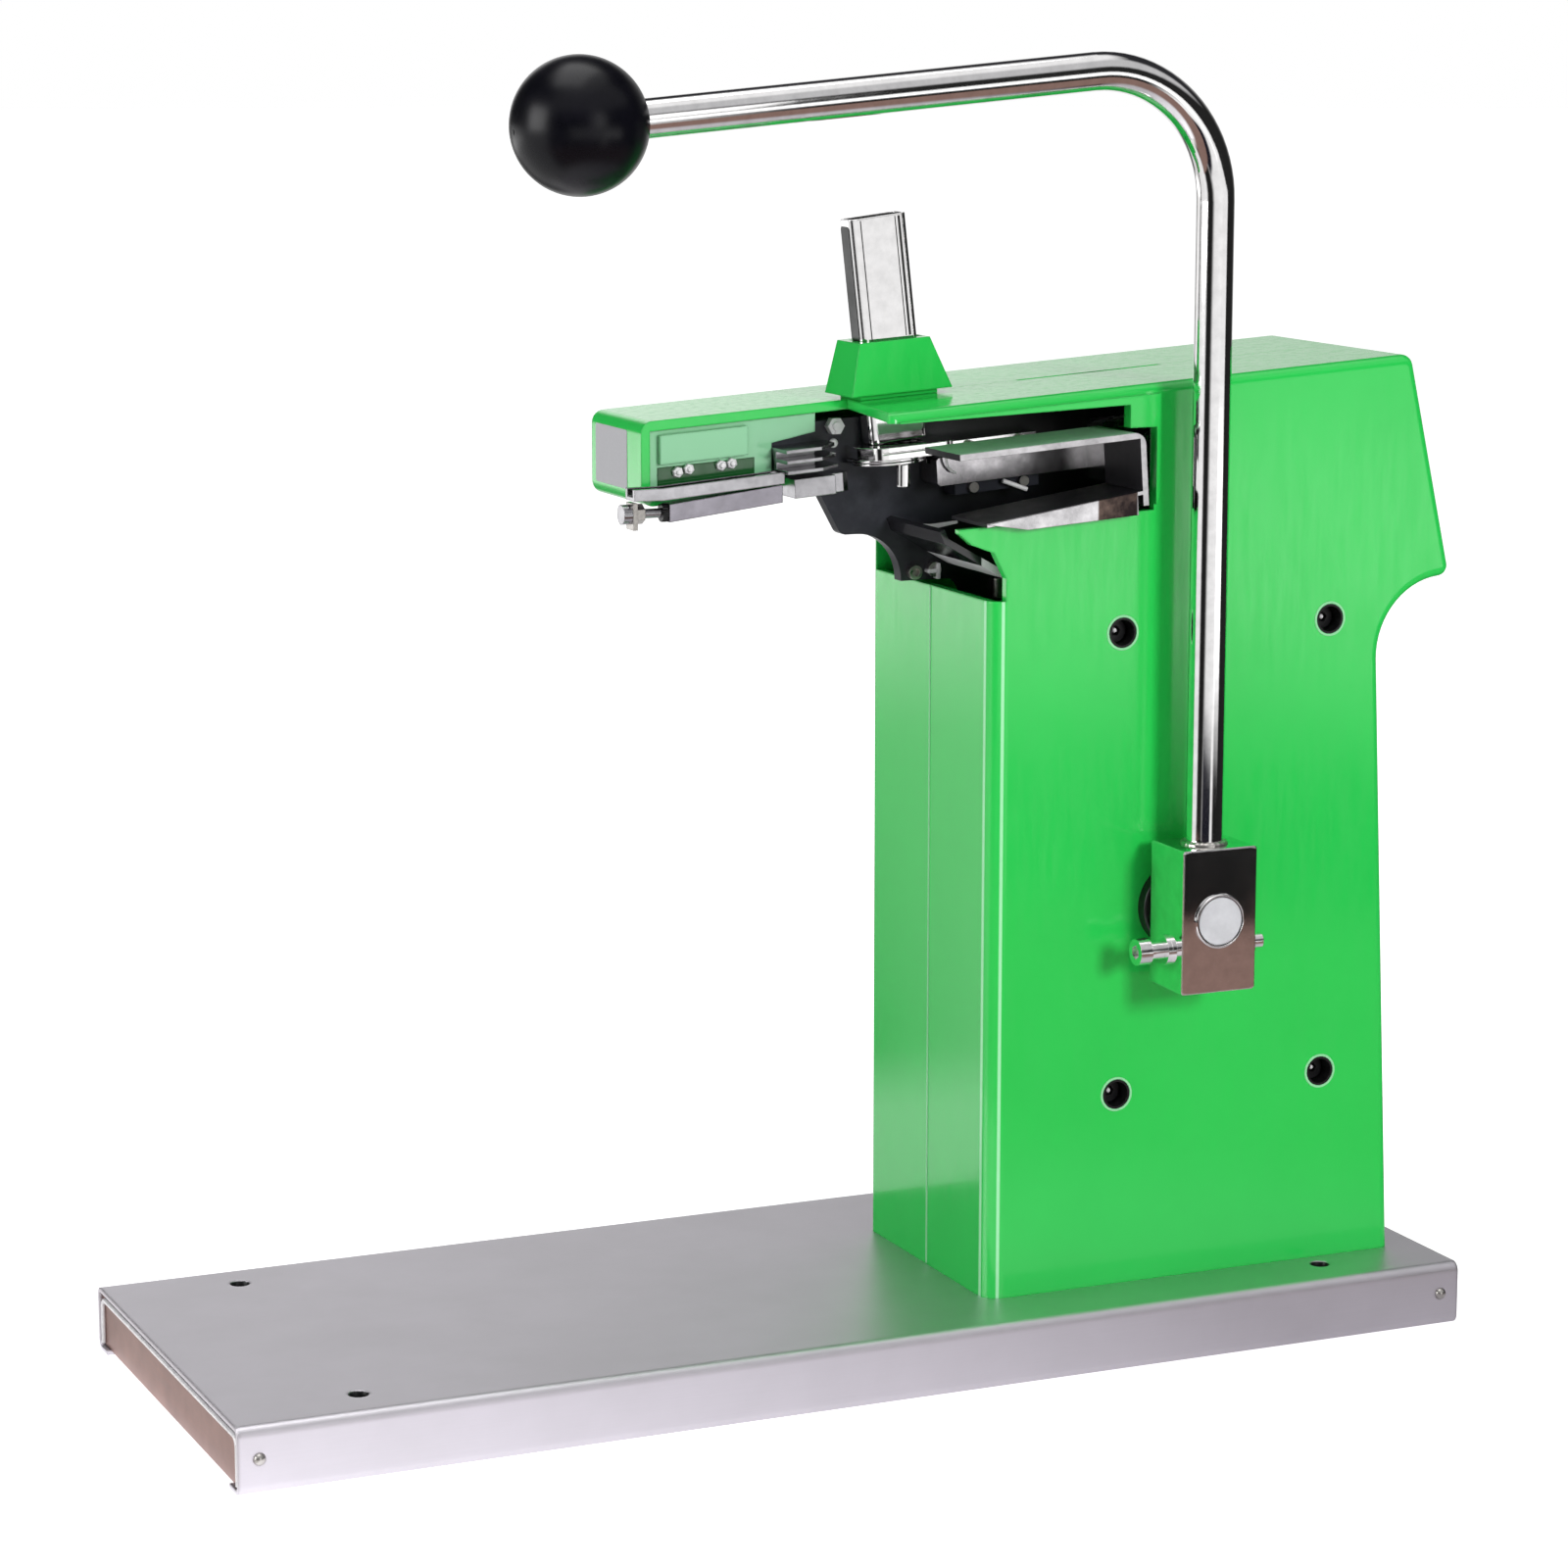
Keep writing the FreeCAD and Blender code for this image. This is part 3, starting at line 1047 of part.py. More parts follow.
def make_link():
    """Upright link between the crank pin and the bell crank's link pin."""
    body = new_body("link")
    height = D["pivot_z"] - D["shaft_z"]
    boss, web = D["crank_boss"] / 2, D["crank_web"] / 2
    back = D["crank_near_y"] - D["side_gap"]
    pad(body, "shank", "xz", [box_loop(-web + 0.5, 0, web - 0.5, height)], back, D["link_thick"])
    pad(body, "bosses", "xz", [(0, 0, boss + 1), (0, height, boss + 1)], back, D["link_thick"])
    radius = D["pin_diameter"] / 2
    bores = [(0, 0, radius + D["pin_clearance"]), (0, height, radius + D["open_clearance"])]
    pocket(body, "bores", "xz", bores, back - D["link_thick"], D["link_thick"])
    dx, dz = crank_pin_spot(-D["crank_swing"])
    place(body, D["lever_x"] + dx, 0, D["shaft_z"] + dz)


def make_bell_crank():
    """Two-armed crank: the side arm follows the link, the upright arm drives the slide."""
    body = new_body("bell_crank")
    side = -D["crank_swing"]
    up = as_size(90) + D["head_tilt"] - D["crank_swing"]
    thick = D["crank_thick"]
    back = D["crank_near_y"] + thick
    pad(body, "hub", "xz", [(0, 0, D["pivot_boss"] / 2)], back, thick)
    bores = [(0, 0, D["pivot_diameter"] / 2 + D["pin_clearance"])]
    for name, angle in (("side", side), ("up", up)):
        dx, dz = crank_pin_spot(angle)
        pad(body, f"{name}_web", "xz", [arm_web(angle, D["crank_web"])], back, thick)
        pad(body, f"{name}_boss", "xz", [(dx, dz, D["crank_boss"] / 2)], back, thick)
        bores.append((dx, dz, D["pin_diameter"] / 2))
    pocket(body, "bores", "xz", bores, back - thick, thick)
    place(body, D["lever_x"], 0, D["pivot_z"])


# ---------------------------------------------------------------- slide

def slide_place(body):
    """Put a piece in the slide's frame: origin at the drive pin's middle place, +X up the slide axis."""
    x = D["lever_x"] - D["crank_radius"] * trig("sin", D["head_tilt"])
    z = D["pivot_z"] + D["crank_radius"] * trig("cos", D["head_tilt"])
    place(body, x, 0, z, D["head_tilt"])


def along_slide(x, z=None):
    """Distance along the slide axis of a place x in the frame."""
    centre = D["lever_x"] - D["crank_radius"] * trig("sin", D["head_tilt"])
    return (x - centre) / trig("cos", D["head_tilt"])


def make_slide_block():
    """Block behind the punch bar, with the open slot for the drive pin."""
    body = new_body("slide_block")
    left, right, high = D["ram_left_u"], D["ram_right_u"], D["ram_height"] / 2
    far = D["frame_near_y"] - D["bar_back_gap"]
    slot_u = D["crank_radius"] * trig("sin", D["crank_swing"])
    slot = D["pin_diameter"] / 2 + D["slot_clearance"]
    outline = [(left, -high), (slot_u - slot, -high), (slot_u - slot, slot + 1), (slot_u + slot, slot + 1),
               (slot_u + slot, -high), (right, -high), (right, high), (left, high)]
    pad(body, "block", "xz", [outline], far, far - D["bar_near_y"])
    round_edges(body, 2, along("y", (left, high), (right, high), (right, -high)))
    slide_place(body)


def make_punch_bar():
    """Bar that runs between the rails; its nose drives the clip."""
    body = new_body("punch_bar")
    half = D["bar_height"] / 2
    far = D["frame_near_y"] - D["bar_back_gap"]
    nose, tail = D["bar_nose_u"], D["ram_left_u"]
    outline = [(nose, -half), (tail, -half), (tail, half), (nose, half)]
    pad(body, "bar", "xz", [outline], far, far - D["bar_near_y"])
    middle = (far + D["bar_near_y"]) / 2
    pocket(body, "nose_groove", "xy", [box_loop(nose - 1, middle - 1.4, nose + 6, middle + 1.4)], half, 2.2)
    dress(body, "Chamfer", pick(body, along("y", (nose, half), (nose, -half))), 0.8)
    slide_place(body)


def make_carriage():
    """Folded carriage beside the bar: a top, a rounded closed end and a tapered tray with a lip."""
    body = new_body("carriage")
    sheet, corner = D["strap_sheet"], D["strap_corner"]
    near, far = D["strap_near_y"], D["strap_near_y"] + D["strap_deep"]
    left, right, tray = D["strap_left_u"], D["strap_right_u"], D["tray_left_u"]
    top, low, tray_sheet = D["strap_top_w"], D["end_low_w"], D["tray_sheet"]
    outline = [(left, top - sheet), (right - sheet, top - sheet), (right - sheet, D["tray_right_w"]),
               (tray, D["tray_left_w"]), (tray, D["tray_left_w"] - tray_sheet),
               (right - sheet, D["tray_right_w"] - tray_sheet), (right - sheet, low), (right, low),
               (right, top), (left, top)]
    pad(body, "fold", "xz", [outline], far, far - near)
    round_edges(body, corner, along("y", (right, top)))
    lip = [(tray, D["tray_left_w"] - 0.2), (tray + D["lip_taper"], D["lip_low_w"]),
           (right - corner, D["lip_low_w"]), (right - corner, D["tray_right_w"] - 0.2)]
    pad(body, "lip", "xz", [lip], near + tray_sheet, tray_sheet + 0.3)
    slide_place(body)


def make_carriage_bracket():
    """Plate that joins the carriage's closed end to the slide block."""
    body = new_body("carriage_bracket")
    left = D["strap_right_u"]
    far = D["bar_near_y"]
    near = D["strap_near_y"] + 8
    outline = box_loop(left, -8, D["ram_left_u"] + 6, 8)
    pad(body, "plate", "xz", [outline], far, far - near)
    hollow = box_loop(left + 3, -9, D["ram_left_u"] + 7, 9)
    pocket(body, "hollow", "xz", [hollow], near - 1, far - near - 2)
    slide_place(body)


def make_rails():
    """Upper and lower rails that hold the punch bar to the frame plate."""
    half = D["bar_height"] / 2 + D["rail_gap"]
    left, right = D["rail_left_u"], D["rail_left_u"] + D["rail_length"]
    for label, low, high in (("upper_rail", half, half + D["rail_height"]),
                             ("lower_rail", -half - D["rail_height"], -half)):
        body = new_body(label)
        pad(body, "rail", "xz", [box_loop(left, low, right, high)], D["frame_near_y"], D["rail_deep"])
        slide_place(body)


def make_rail_screws():
    """Cap screws that hold the rails, two to a rail."""
    body = new_body("rail_screws")
    half = D["bar_height"] / 2 + D["rail_gap"] + D["rail_height"] / 2
    face = D["frame_near_y"] - D["rail_deep"]
    spots = [(D["rail_left_u"] + share * D["rail_length"], side * half) for share in (0.2, 0.8) for side in (-1, 1)]
    pad(body, "heads", "xz", [(u, w, 1.7) for u, w in spots], face, 1.8)
    slide_place(body)


# ---------------------------------------------------------------- throat

def make_nose_plate():
    """Plate on the right of the throat, with the chute under the magazine and a round nose."""
    body = new_body("nose_plate")
    left, right = along_slide(D["nose_left_x"]), along_slide(D["nose_right_x"])
    near, far = D["nose_near_y"], D["frame_near_y"]
    middle = (near + far) / 2
    outline = [(left + 4, near), (right, near), (right, far), (left, far), (left, middle)]
    pad(body, "plate", "xy", [outline], D["nose_low_w"], D["nose_thick"])
    round_edges(body, 5, along("z", (left + 4, near), (right, near)))
    chute = chute_loop(0.4)
    pocket(body, "chute", "xy", [chute], D["nose_low_w"] + D["nose_thick"], D["nose_thick"])
    groove = [(left - 5, near - 5), (right + 5, near - 5), (right + 5, near + 0.7), (left - 5, near + 0.7)]
    pocket(body, "edge_groove", "xy", [groove], D["nose_low_w"] + D["nose_thick"] * 0.6, 0.5)
    slide_place(body)


def chute_loop(gap):
    """Outline of the clip chute in the slide's frame, seen from above."""
    centre = along_slide(D["magazine_x"]) + 2.5
    wide = D["magazine_wide"] / 2 - D["magazine_wall"] - 1.5 + gap
    deep = D["magazine_deep"] / 2 - D["magazine_wall"] + gap
    return box_loop(centre - wide, D["mid_plane"] - deep, centre + wide, D["mid_plane"] + deep)


def make_throat_rings():
    """Two thin rings under the nose plate that hold the bag's neck open."""
    body = new_body("throat_rings")
    centre = along_slide(D["nose_left_x"]) + D["ring_radius"] - 1
    y = D["mid_plane"] - 0.5
    for i, low in enumerate((D["bar_height"] / 2 + 0.3, D["bar_height"] / 2 + 1.3)):
        disc = (centre, y, D["ring_radius"])
        pad(body, f"ring_{i}", "xy", [disc], low, D["ring_thick"])
    back = box_loop(centre - 30, D["frame_near_y"], centre + 30, D["frame_near_y"] + 20)
    pocket(body, "back", "xy", [back, chute_loop(0.6)], D["nose_low_w"], 4)
    spacers = [(centre - 8, y + 2, 1.6), (centre + 8.5, y - 5, 1.6)]
    pad(body, "spacers", "xy", spacers, D["bar_height"] / 2 + 0.3, D["nose_low_w"] - D["bar_height"] / 2 - 0.3)
    slide_place(body)


def make_jaw_plates():
    """Three plates on the left of the throat, on a spacer; their tips lead the neck in."""
    body = new_body("jaw_plates")
    left, tip = along_slide(D["jaw_left_x"]), along_slide(D["jaw_right_x"])
    near, far = D["jaw_near_y"], D["frame_near_y"]
    height = 2 * D["jaw_pitch"] + D["jaw_thick"]
    pad(body, "spacer", "xy", [box_loop(left, far - 6, tip - 6, far)], D["jaw_low_w"], height)
    for i in range(3):
        outline = [(left, near), (tip - 7, near), (tip, near + 4 + i), (tip, far), (left, far)]
        pad(body, f"plate_{i}", "xy", [outline], D["jaw_low_w"] + i * D["jaw_pitch"], D["jaw_thick"])
    slide_place(body)


def make_anvil():
    """Hardened block on the frame plate that the clip is closed against; its striking end is narrow."""
    body = new_body("anvil")
    face, back = along_slide(D["anvil_face_x"]), along_slide(D["jaw_left_x"]) + 4
    step = along_slide(D["jaw_right_x"]) - 1
    wall = D["frame_near_y"]
    outline = [(back, wall), (face, wall), (face, wall - 6), (face - 2, wall - 7), (step, wall - 7),
               (step, wall - 10), (back, wall - 10)]
    pad(body, "block", "xy", [outline], -D["anvil_height"] / 2, D["anvil_height"])
    slide_place(body)


def make_throat_guide():
    """Bent strip on the frame plate that keeps the bag's neck off the edge of the housing."""
    body = new_body("throat_guide")
    high, knee_z, low = D["guide_top_z"], D["guide_top_z"] - 3, D["guide_top_z"] - 3 - D["guide_fall"]
    left, knee, right = D["guide_x"], D["guide_x"] + 1.4, D["guide_x"] + 1.4 + D["guide_run"]
    outline = [(left, high), (knee, knee_z), (right, low), (right - 0.9, low - D["guide_thick"]),
               (knee - 1.4, knee_z - D["guide_thick"] + 0.4), (left - D["guide_thick"] + 0.4, high - 0.8)]
    pad(body, "strip", "xz", [outline], D["frame_near_y"], D["guide_deep"])


def make_throat_fasteners():
    """Nut and stud ends on the frame plate beside the throat, and the pin under the rings."""
    x, z = 15.0, 300.4
    face = D["frame_near_y"]
    nut = hex_prism("throat_nut_hex", as_size(5.0), 3, x, face, z, "-y")
    stud = cylinder("throat_stud", 1.4, 4, x, face, z, "-y")
    keep("throat_nut", fuse("throat_nut_whole", [nut, stud]))
    screws = []
    first = D["frame_throat_x"] + 4.2
    for i, (sx, sz) in enumerate([(first, D["front_wall_z"] + 4), (first + 6.8, D["front_wall_z"] + 4.6)]):
        head = cylinder(f"frame_screw_head_{i}", 2.3, 2.4, sx, face, sz, "-y")
        socket = hex_socket(f"frame_screw_socket_{i}", 2.4, 1.4, sx, face - 2.4, sz, -1)
        screws.append(cut(f"frame_screw_{i}", head, socket))
    group("frame_screws", screws)
    pin_y = D["bar_near_y"] - 0.7 - 2.3
    slide_z = D["pivot_z"] + D["crank_radius"] * trig("cos", D["head_tilt"])
    pin_x = D["nose_left_x"] + 12.5
    under = slide_z + along_slide(pin_x) * trig("sin", D["head_tilt"]) + D["bar_height"] / 2
    keep("throat_pin", cylinder("throat_pin_round", 2.3, 7, pin_x, pin_y, under - 7, "z"))


# ---------------------------------------------------------------- magazine

def magazine_place(body):
    """Put a piece on the magazine's own axis, which leans to the left."""
    place(body, D["magazine_x"], D["mid_plane"], top_at(D["magazine_x"]), D["magazine_tilt"])


def make_magazine_tube():
    """Open rectangular tube that holds the clips."""
    body = new_body("magazine_tube")
    wide, deep = D["magazine_wide"] / 2, D["magazine_deep"] / 2
    length = D["magazine_above"] + D["magazine_below"]
    pad(body, "tube", "xy", [box_loop(-wide, -deep, wide, deep)], -D["magazine_below"], length)
    corners = [(x, y) for x in (-wide, wide) for y in (-deep, deep)]
    round_edges(body, D["magazine_corner"], along("z", *corners))
    wall = D["magazine_wall"]
    inner = box_loop(wall - wide, wall - deep, wide - wall, deep - wall)
    pocket(body, "inside", "xy", [inner], D["magazine_above"], length)
    corners = [(x, y) for x in (wall - wide, wide - wall) for y in (wall - deep, deep - wall)]
    round_edges(body, D["magazine_corner"] - wall, along("z", *corners))
    magazine_place(body)


def make_holder():
    """Tapered collar that holds the magazine on the housing's top."""
    body = new_body("magazine_holder")
    wide, deep = D["holder_wide"] / 2, D["holder_deep"] / 2
    base_z = D["holder_gap"]
    low = new_sketch(body, "xy", base_z, "foot")
    draw(low, [box_loop(-wide, -deep, wide, deep)])
    high = new_sketch(body, "xy", base_z + D["holder_height"], "rim")
    rim_wide, rim_deep = wide * 0.7, deep * 0.81
    shift = -D["holder_height"] * trig("tan", D["magazine_tilt"] - D["top_slope"])
    draw(high, [box_loop(shift - rim_wide, -rim_deep, shift + rim_wide, rim_deep)])
    doc.recompute()
    loft = body.newObject("PartDesign::AdditiveLoft", "holder_loft")
    loft.Profile = low
    loft.Sections = [high]
    loft.Ruled = True
    doc.recompute()
    reach = D["magazine_wide"] / 2 + 0.3
    slant = (D["holder_height"] + D["holder_gap"]) * trig("tan", D["magazine_tilt"] - D["top_slope"])
    depth = D["magazine_deep"] / 2 + 0.1
    through = box_loop(0.5 - reach - slant, -depth, 0.5 + reach, depth)
    foot = box_loop(-wide + 4, -deep + 3, wide - 4, deep - 3)
    pad(body, "collar", "xy", [foot], 0.05, D["holder_gap"])
    pocket(body, "through", "xy", [through], base_z + D["holder_height"] + 1, D["holder_height"] + base_z + 2)
    x = D["magazine_x"] - 0.5
    place(body, x, D["mid_plane"], top_at(x), D["top_slope"])


def make_follower():
    """Weight that rides down on the clips."""
    body = new_body("clip_follower")
    wide = D["magazine_wide"] / 2 - D["magazine_wall"] - D["follower_gap"]
    deep = D["magazine_deep"] / 2 - D["magazine_wall"] - D["follower_gap"]
    pad(body, "weight", "xy", [box_loop(-wide, -deep, wide, deep)], -D["magazine_below"] + 3, 16)
    corners = [(x, y) for x in (-wide, wide) for y in (-deep, deep)]
    round_edges(body, D["magazine_corner"] - D["magazine_wall"], along("z", *corners))
    dress(body, "Chamfer", pick(body, lambda a, b, e: a.z > 0 and b.z > 0), 0.8)
    magazine_place(body)


# ---------------------------------------------------------------- arm fittings

def make_arm_cover():
    """Cover in the open side of the arm, with a raised panel."""
    body = new_body("arm_cover")
    wall, slope = D["shell_wall"], trig("tan", D["top_slope"])
    left, right = D["arm_end_x"] + wall + 0.3, D["jaw_left_x"] + 14
    under = D["top_z"] - D["arm_depth"] + wall + 0.3

    def low_at(x):
        return under + (x - D["arm_end_x"]) * slope

    def high_at(x):
        return top_at(x) - wall - 0.3

    back = D["cover_recess"] + D["cover_sheet"]
    outline = [(left, low_at(left)), (D["jaw_left_x"] - 1, low_at(D["jaw_left_x"] - 1)),
               (D["jaw_left_x"] - 1, high_at(D["jaw_left_x"] - 1) - D["cover_step"]),
               (right, high_at(right) - D["cover_step"] + 2),
               (right, high_at(right)), (left, high_at(left))]
    pad(body, "plate", "xz", [outline], back, D["cover_sheet"])
    panel_left, panel_right = left + 3, D["jaw_left_x"] - D["panel_stop"]
    panel = [(panel_left, low_at(panel_left) + D["panel_rise"]), (panel_right, low_at(panel_right) + D["panel_rise"]),
             (panel_right, high_at(panel_right) - 1.5), (panel_left, high_at(panel_left) - 1.5)]
    pad(body, "panel", "xz", [panel], D["cover_recess"], D["cover_recess"] + 0.6)
    place(body, 0, D["mid_plane"], 0)


def make_arm_rail():
    """Bright rail along the lower edge of the arm's open side."""
    body = new_body("arm_rail")
    slope = trig("tan", D["top_slope"])
    left, right = D["arm_end_x"] - D["rail_overhang"], D["jaw_left_x"] - 0.6

    def at(x, rise):
        return D["top_z"] - D["arm_depth"] + (x - D["arm_end_x"]) * slope + rise

    knee, foot = left + D["rail_curve"], D["rail_foot"]
    high = foot + D["rail_side"]
    outline = [(left, at(left, foot)), (knee, at(knee, foot - 0.8)), (right, at(right, foot)),
               (right, at(right, high)), (knee, at(knee, high - 0.6)), (left, at(left, high))]
    pad(body, "rail", "xz", [outline], D["mid_plane"] - 0.3, D["rail_reach"])
    floor = foot + 1.2
    inner = [(left - 1, at(left, floor)), (knee, at(knee, floor - 0.8)), (right + 1, at(right, floor)),
             (right + 1, at(right, high + 2)), (left - 1, at(left, high + 2))]
    pocket(body, "channel", "xz", [inner], D["mid_plane"] - 1.8, D["rail_reach"] - 3, back=True)


def make_arm_bar():
    """Bar below the rail, held at its left end by a bolt in a bracket."""
    slope = trig("tan", as_size(6.5))
    left, right = D["arm_end_x"] + 7, D["jaw_left_x"] - 0.6
    low = D["top_z"] - D["arm_depth"] - 4.2
    near = D["mid_plane"] - 6.3
    bar = new_body("arm_bar")
    outline = [(left, low), (right, low + (right - left) * slope),
               (right, low + (right - left) * slope + D["tray_bar_height"]), (left, low + D["tray_bar_height"])]
    pad(bar, "bar", "xz", [outline], near + 6, 6)
    bracket = new_body("arm_bracket")
    x = D["arm_end_x"] - D["rail_overhang"] + 1.7
    under_rail = D["top_z"] - D["arm_depth"] - D["rail_overhang"] * trig("tan", D["top_slope"]) + 2.6
    plate = box_loop(near, low - 2, near + 6, under_rail)
    pad(bracket, "plate", "yz", [plate], x - 1.5, 1.5)
    bolt_z = low + D["tray_bar_height"] / 2
    hole = (near + 3, bolt_z, 1.6)
    pocket(bracket, "hole", "yz", [hole], x + 1, 4)
    shank = cylinder("arm_bolt_shank", 1.5, left - x + 4.5, x - 4.5, near + 3, bolt_z, "x")
    head = cylinder("arm_bolt_head", 3.1, 3, x - 4.5, near + 3, bolt_z, "x")
    keep("arm_bolt", fuse("arm_bolt_whole", [shank, head]))
    nut = hex_prism("arm_nut_hex", as_size(5.5), 2.6, x, near + 3, bolt_z, "x")
    nut_hole = cylinder("arm_nut_hole", 1.5, 5, x - 1, near + 3, bolt_z, "x")
    keep("arm_nut", cut("arm_nut_cut", nut, nut_hole))


def make_arm_screws():
    """Screws with nuts in the gap between the panel and the rail."""
    screws = []
    slope = trig("tan", D["top_slope"])
    for i, step in enumerate((6.6, 15.6, 29.6)):
        x = D["arm_end_x"] + step
        z = D["top_z"] - D["arm_depth"] + step * slope + 9.6
        face = D["mid_plane"] + D["cover_recess"]
        head = cylinder(f"arm_screw_head_{i}", 1.9, 2.2, x, face, z, "-y")
        washer = cylinder(f"arm_screw_washer_{i}", 2.6, 0.7, x, face, z, "-y")
        screws.append(fuse(f"arm_screw_{i}", [head, washer]))
    group("arm_screws", screws)


# ---------------------------------------------------------------- build and write

def seat_on_origin():
    """Move every piece from the base's middle to the origin."""
    for obj in exported:
        ties = {path.lstrip("."): text for path, text in obj.ExpressionEngine}
        for prop, step in (("Placement.Base.x", -D["origin_right"]), ("Placement.Base.y", D["origin_front"])):
            obj.setExpression(prop, f"({ties.get(prop, '0')}) + ({step.text})")


def check_and_write():
    """Refuse a failed object or shape, then write one file per piece."""
    doc.recompute()
    for obj in doc.Objects:
        bad = [state for state in obj.State if state in ("Invalid", "Error")]
        if bad:
            raise RuntimeError(f"{obj.Name}: {bad}")
    for obj in exported:
        if obj.Shape.isNull() or not obj.Shape.isValid() or not obj.Shape.Solids:
            raise RuntimeError(f"{obj.Label}: no valid solid")
    os.makedirs("parts", exist_ok=True)
    for obj in exported:
        obj.Shape.exportStep(f"parts/{obj.Label}.step")
        print(f"{obj.Label}: {len(obj.Shape.Solids)} solid(s), {obj.Shape.Volume / 1000:.2f} cm3")


make_base_plate()
make_end_cap("left_end_cap", -1)
make_end_cap("right_end_cap", 1)
make_side_rivets()
make_near_shell()
make_far_shell()
make_shell_screws()
make_frame_plate()
make_frame_feet()
make_foot_bolts()
make_bushes()
make_pivot_stud()
make_stop_and_anchor()
make_return_spring()
make_clamp_block()
make_lever_rod()
make_knob()
make_pinch_bolt()
make_shaft()
make_thrust_washer()
make_crank()
make_crank_pins()
make_link()
make_bell_crank()
make_slide_block()
make_punch_bar()
make_carriage()
make_carriage_bracket()
make_rails()
make_rail_screws()
make_nose_plate()
make_throat_rings()
make_jaw_plates()
make_anvil()
make_throat_guide()
make_throat_fasteners()
make_magazine_tube()
make_holder()
make_follower()
make_arm_cover()
make_arm_rail()
make_arm_bar()
make_arm_screws()
seat_on_origin()
check_and_write()
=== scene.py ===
"""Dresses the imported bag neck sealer: finishes, small trim, studio and camera.

Every length in a size field is in millimetres, measured from the middle of the
base's underside; ``at`` turns such a point into metres in the row frame.
"""

import json
import logging
import math
from dataclasses import dataclass
from enum import Enum
from typing import Any, Callable, Sequence

import bmesh
import bpy
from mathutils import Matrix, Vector

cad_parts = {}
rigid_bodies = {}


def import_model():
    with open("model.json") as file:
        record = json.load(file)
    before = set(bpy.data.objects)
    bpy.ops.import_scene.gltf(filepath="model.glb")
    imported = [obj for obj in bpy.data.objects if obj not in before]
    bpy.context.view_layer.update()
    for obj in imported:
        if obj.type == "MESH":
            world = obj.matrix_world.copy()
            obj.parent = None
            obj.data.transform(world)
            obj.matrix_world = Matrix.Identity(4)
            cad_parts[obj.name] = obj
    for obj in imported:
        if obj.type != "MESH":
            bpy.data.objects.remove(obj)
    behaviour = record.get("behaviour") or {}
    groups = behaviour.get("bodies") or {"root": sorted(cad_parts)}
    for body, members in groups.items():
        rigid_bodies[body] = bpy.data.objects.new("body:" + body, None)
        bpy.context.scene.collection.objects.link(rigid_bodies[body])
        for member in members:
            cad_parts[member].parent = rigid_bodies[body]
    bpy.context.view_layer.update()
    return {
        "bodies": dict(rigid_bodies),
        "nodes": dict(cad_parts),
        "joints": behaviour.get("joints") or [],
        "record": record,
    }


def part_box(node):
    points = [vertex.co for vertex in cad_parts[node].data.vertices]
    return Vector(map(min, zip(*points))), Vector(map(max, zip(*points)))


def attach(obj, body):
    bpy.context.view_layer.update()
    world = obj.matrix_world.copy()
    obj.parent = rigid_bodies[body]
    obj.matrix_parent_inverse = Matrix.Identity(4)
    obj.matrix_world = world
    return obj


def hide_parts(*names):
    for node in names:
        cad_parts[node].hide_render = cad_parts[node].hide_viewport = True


LOG = logging.getLogger("bag_neck_sealer")
MM = 0.001
TINY = 1e-6
UPWARD = Vector((0, 0, 1))
NEARWARD = Vector((0, -1, 0))

Form = bmesh.types.BMesh
Material = bpy.types.Material
Socket = bpy.types.NodeSocket
Pair = tuple[float, float]
Pairs = tuple[Pair, ...]
Point = tuple[float, float, float]
Points = tuple[Point, ...]
Colour = tuple[float, float, float]


class Body(Enum):
    """The bodies that new pieces ride on."""

    FRAME = "frame"
    LEVER = "lever"


class Slot(Enum):
    """Names of the record's material slots."""

    BASE = "base_steel"
    HOUSING = "housing_green"
    CHROME = "chrome"
    ZINC = "zinc_steel"
    BLACK = "black_steel"
    PLAIN = "plain_steel"


class Grain(Enum):
    """The way a brushed surface's lines run, as the stretch of its noise."""

    ALONG_X = (0.012, 1.0, 1.0)
    ALONG_Y = (1.0, 0.012, 1.0)


class Shading(Enum):
    """How a piece is shaded: its edges below this angle in degrees look smooth."""

    KNURLED = 20.0
    EDGED = 35.0
    ROUND = 60.0
    WELDED = 80.0


# ------------------------------------------------------------------ shader trees


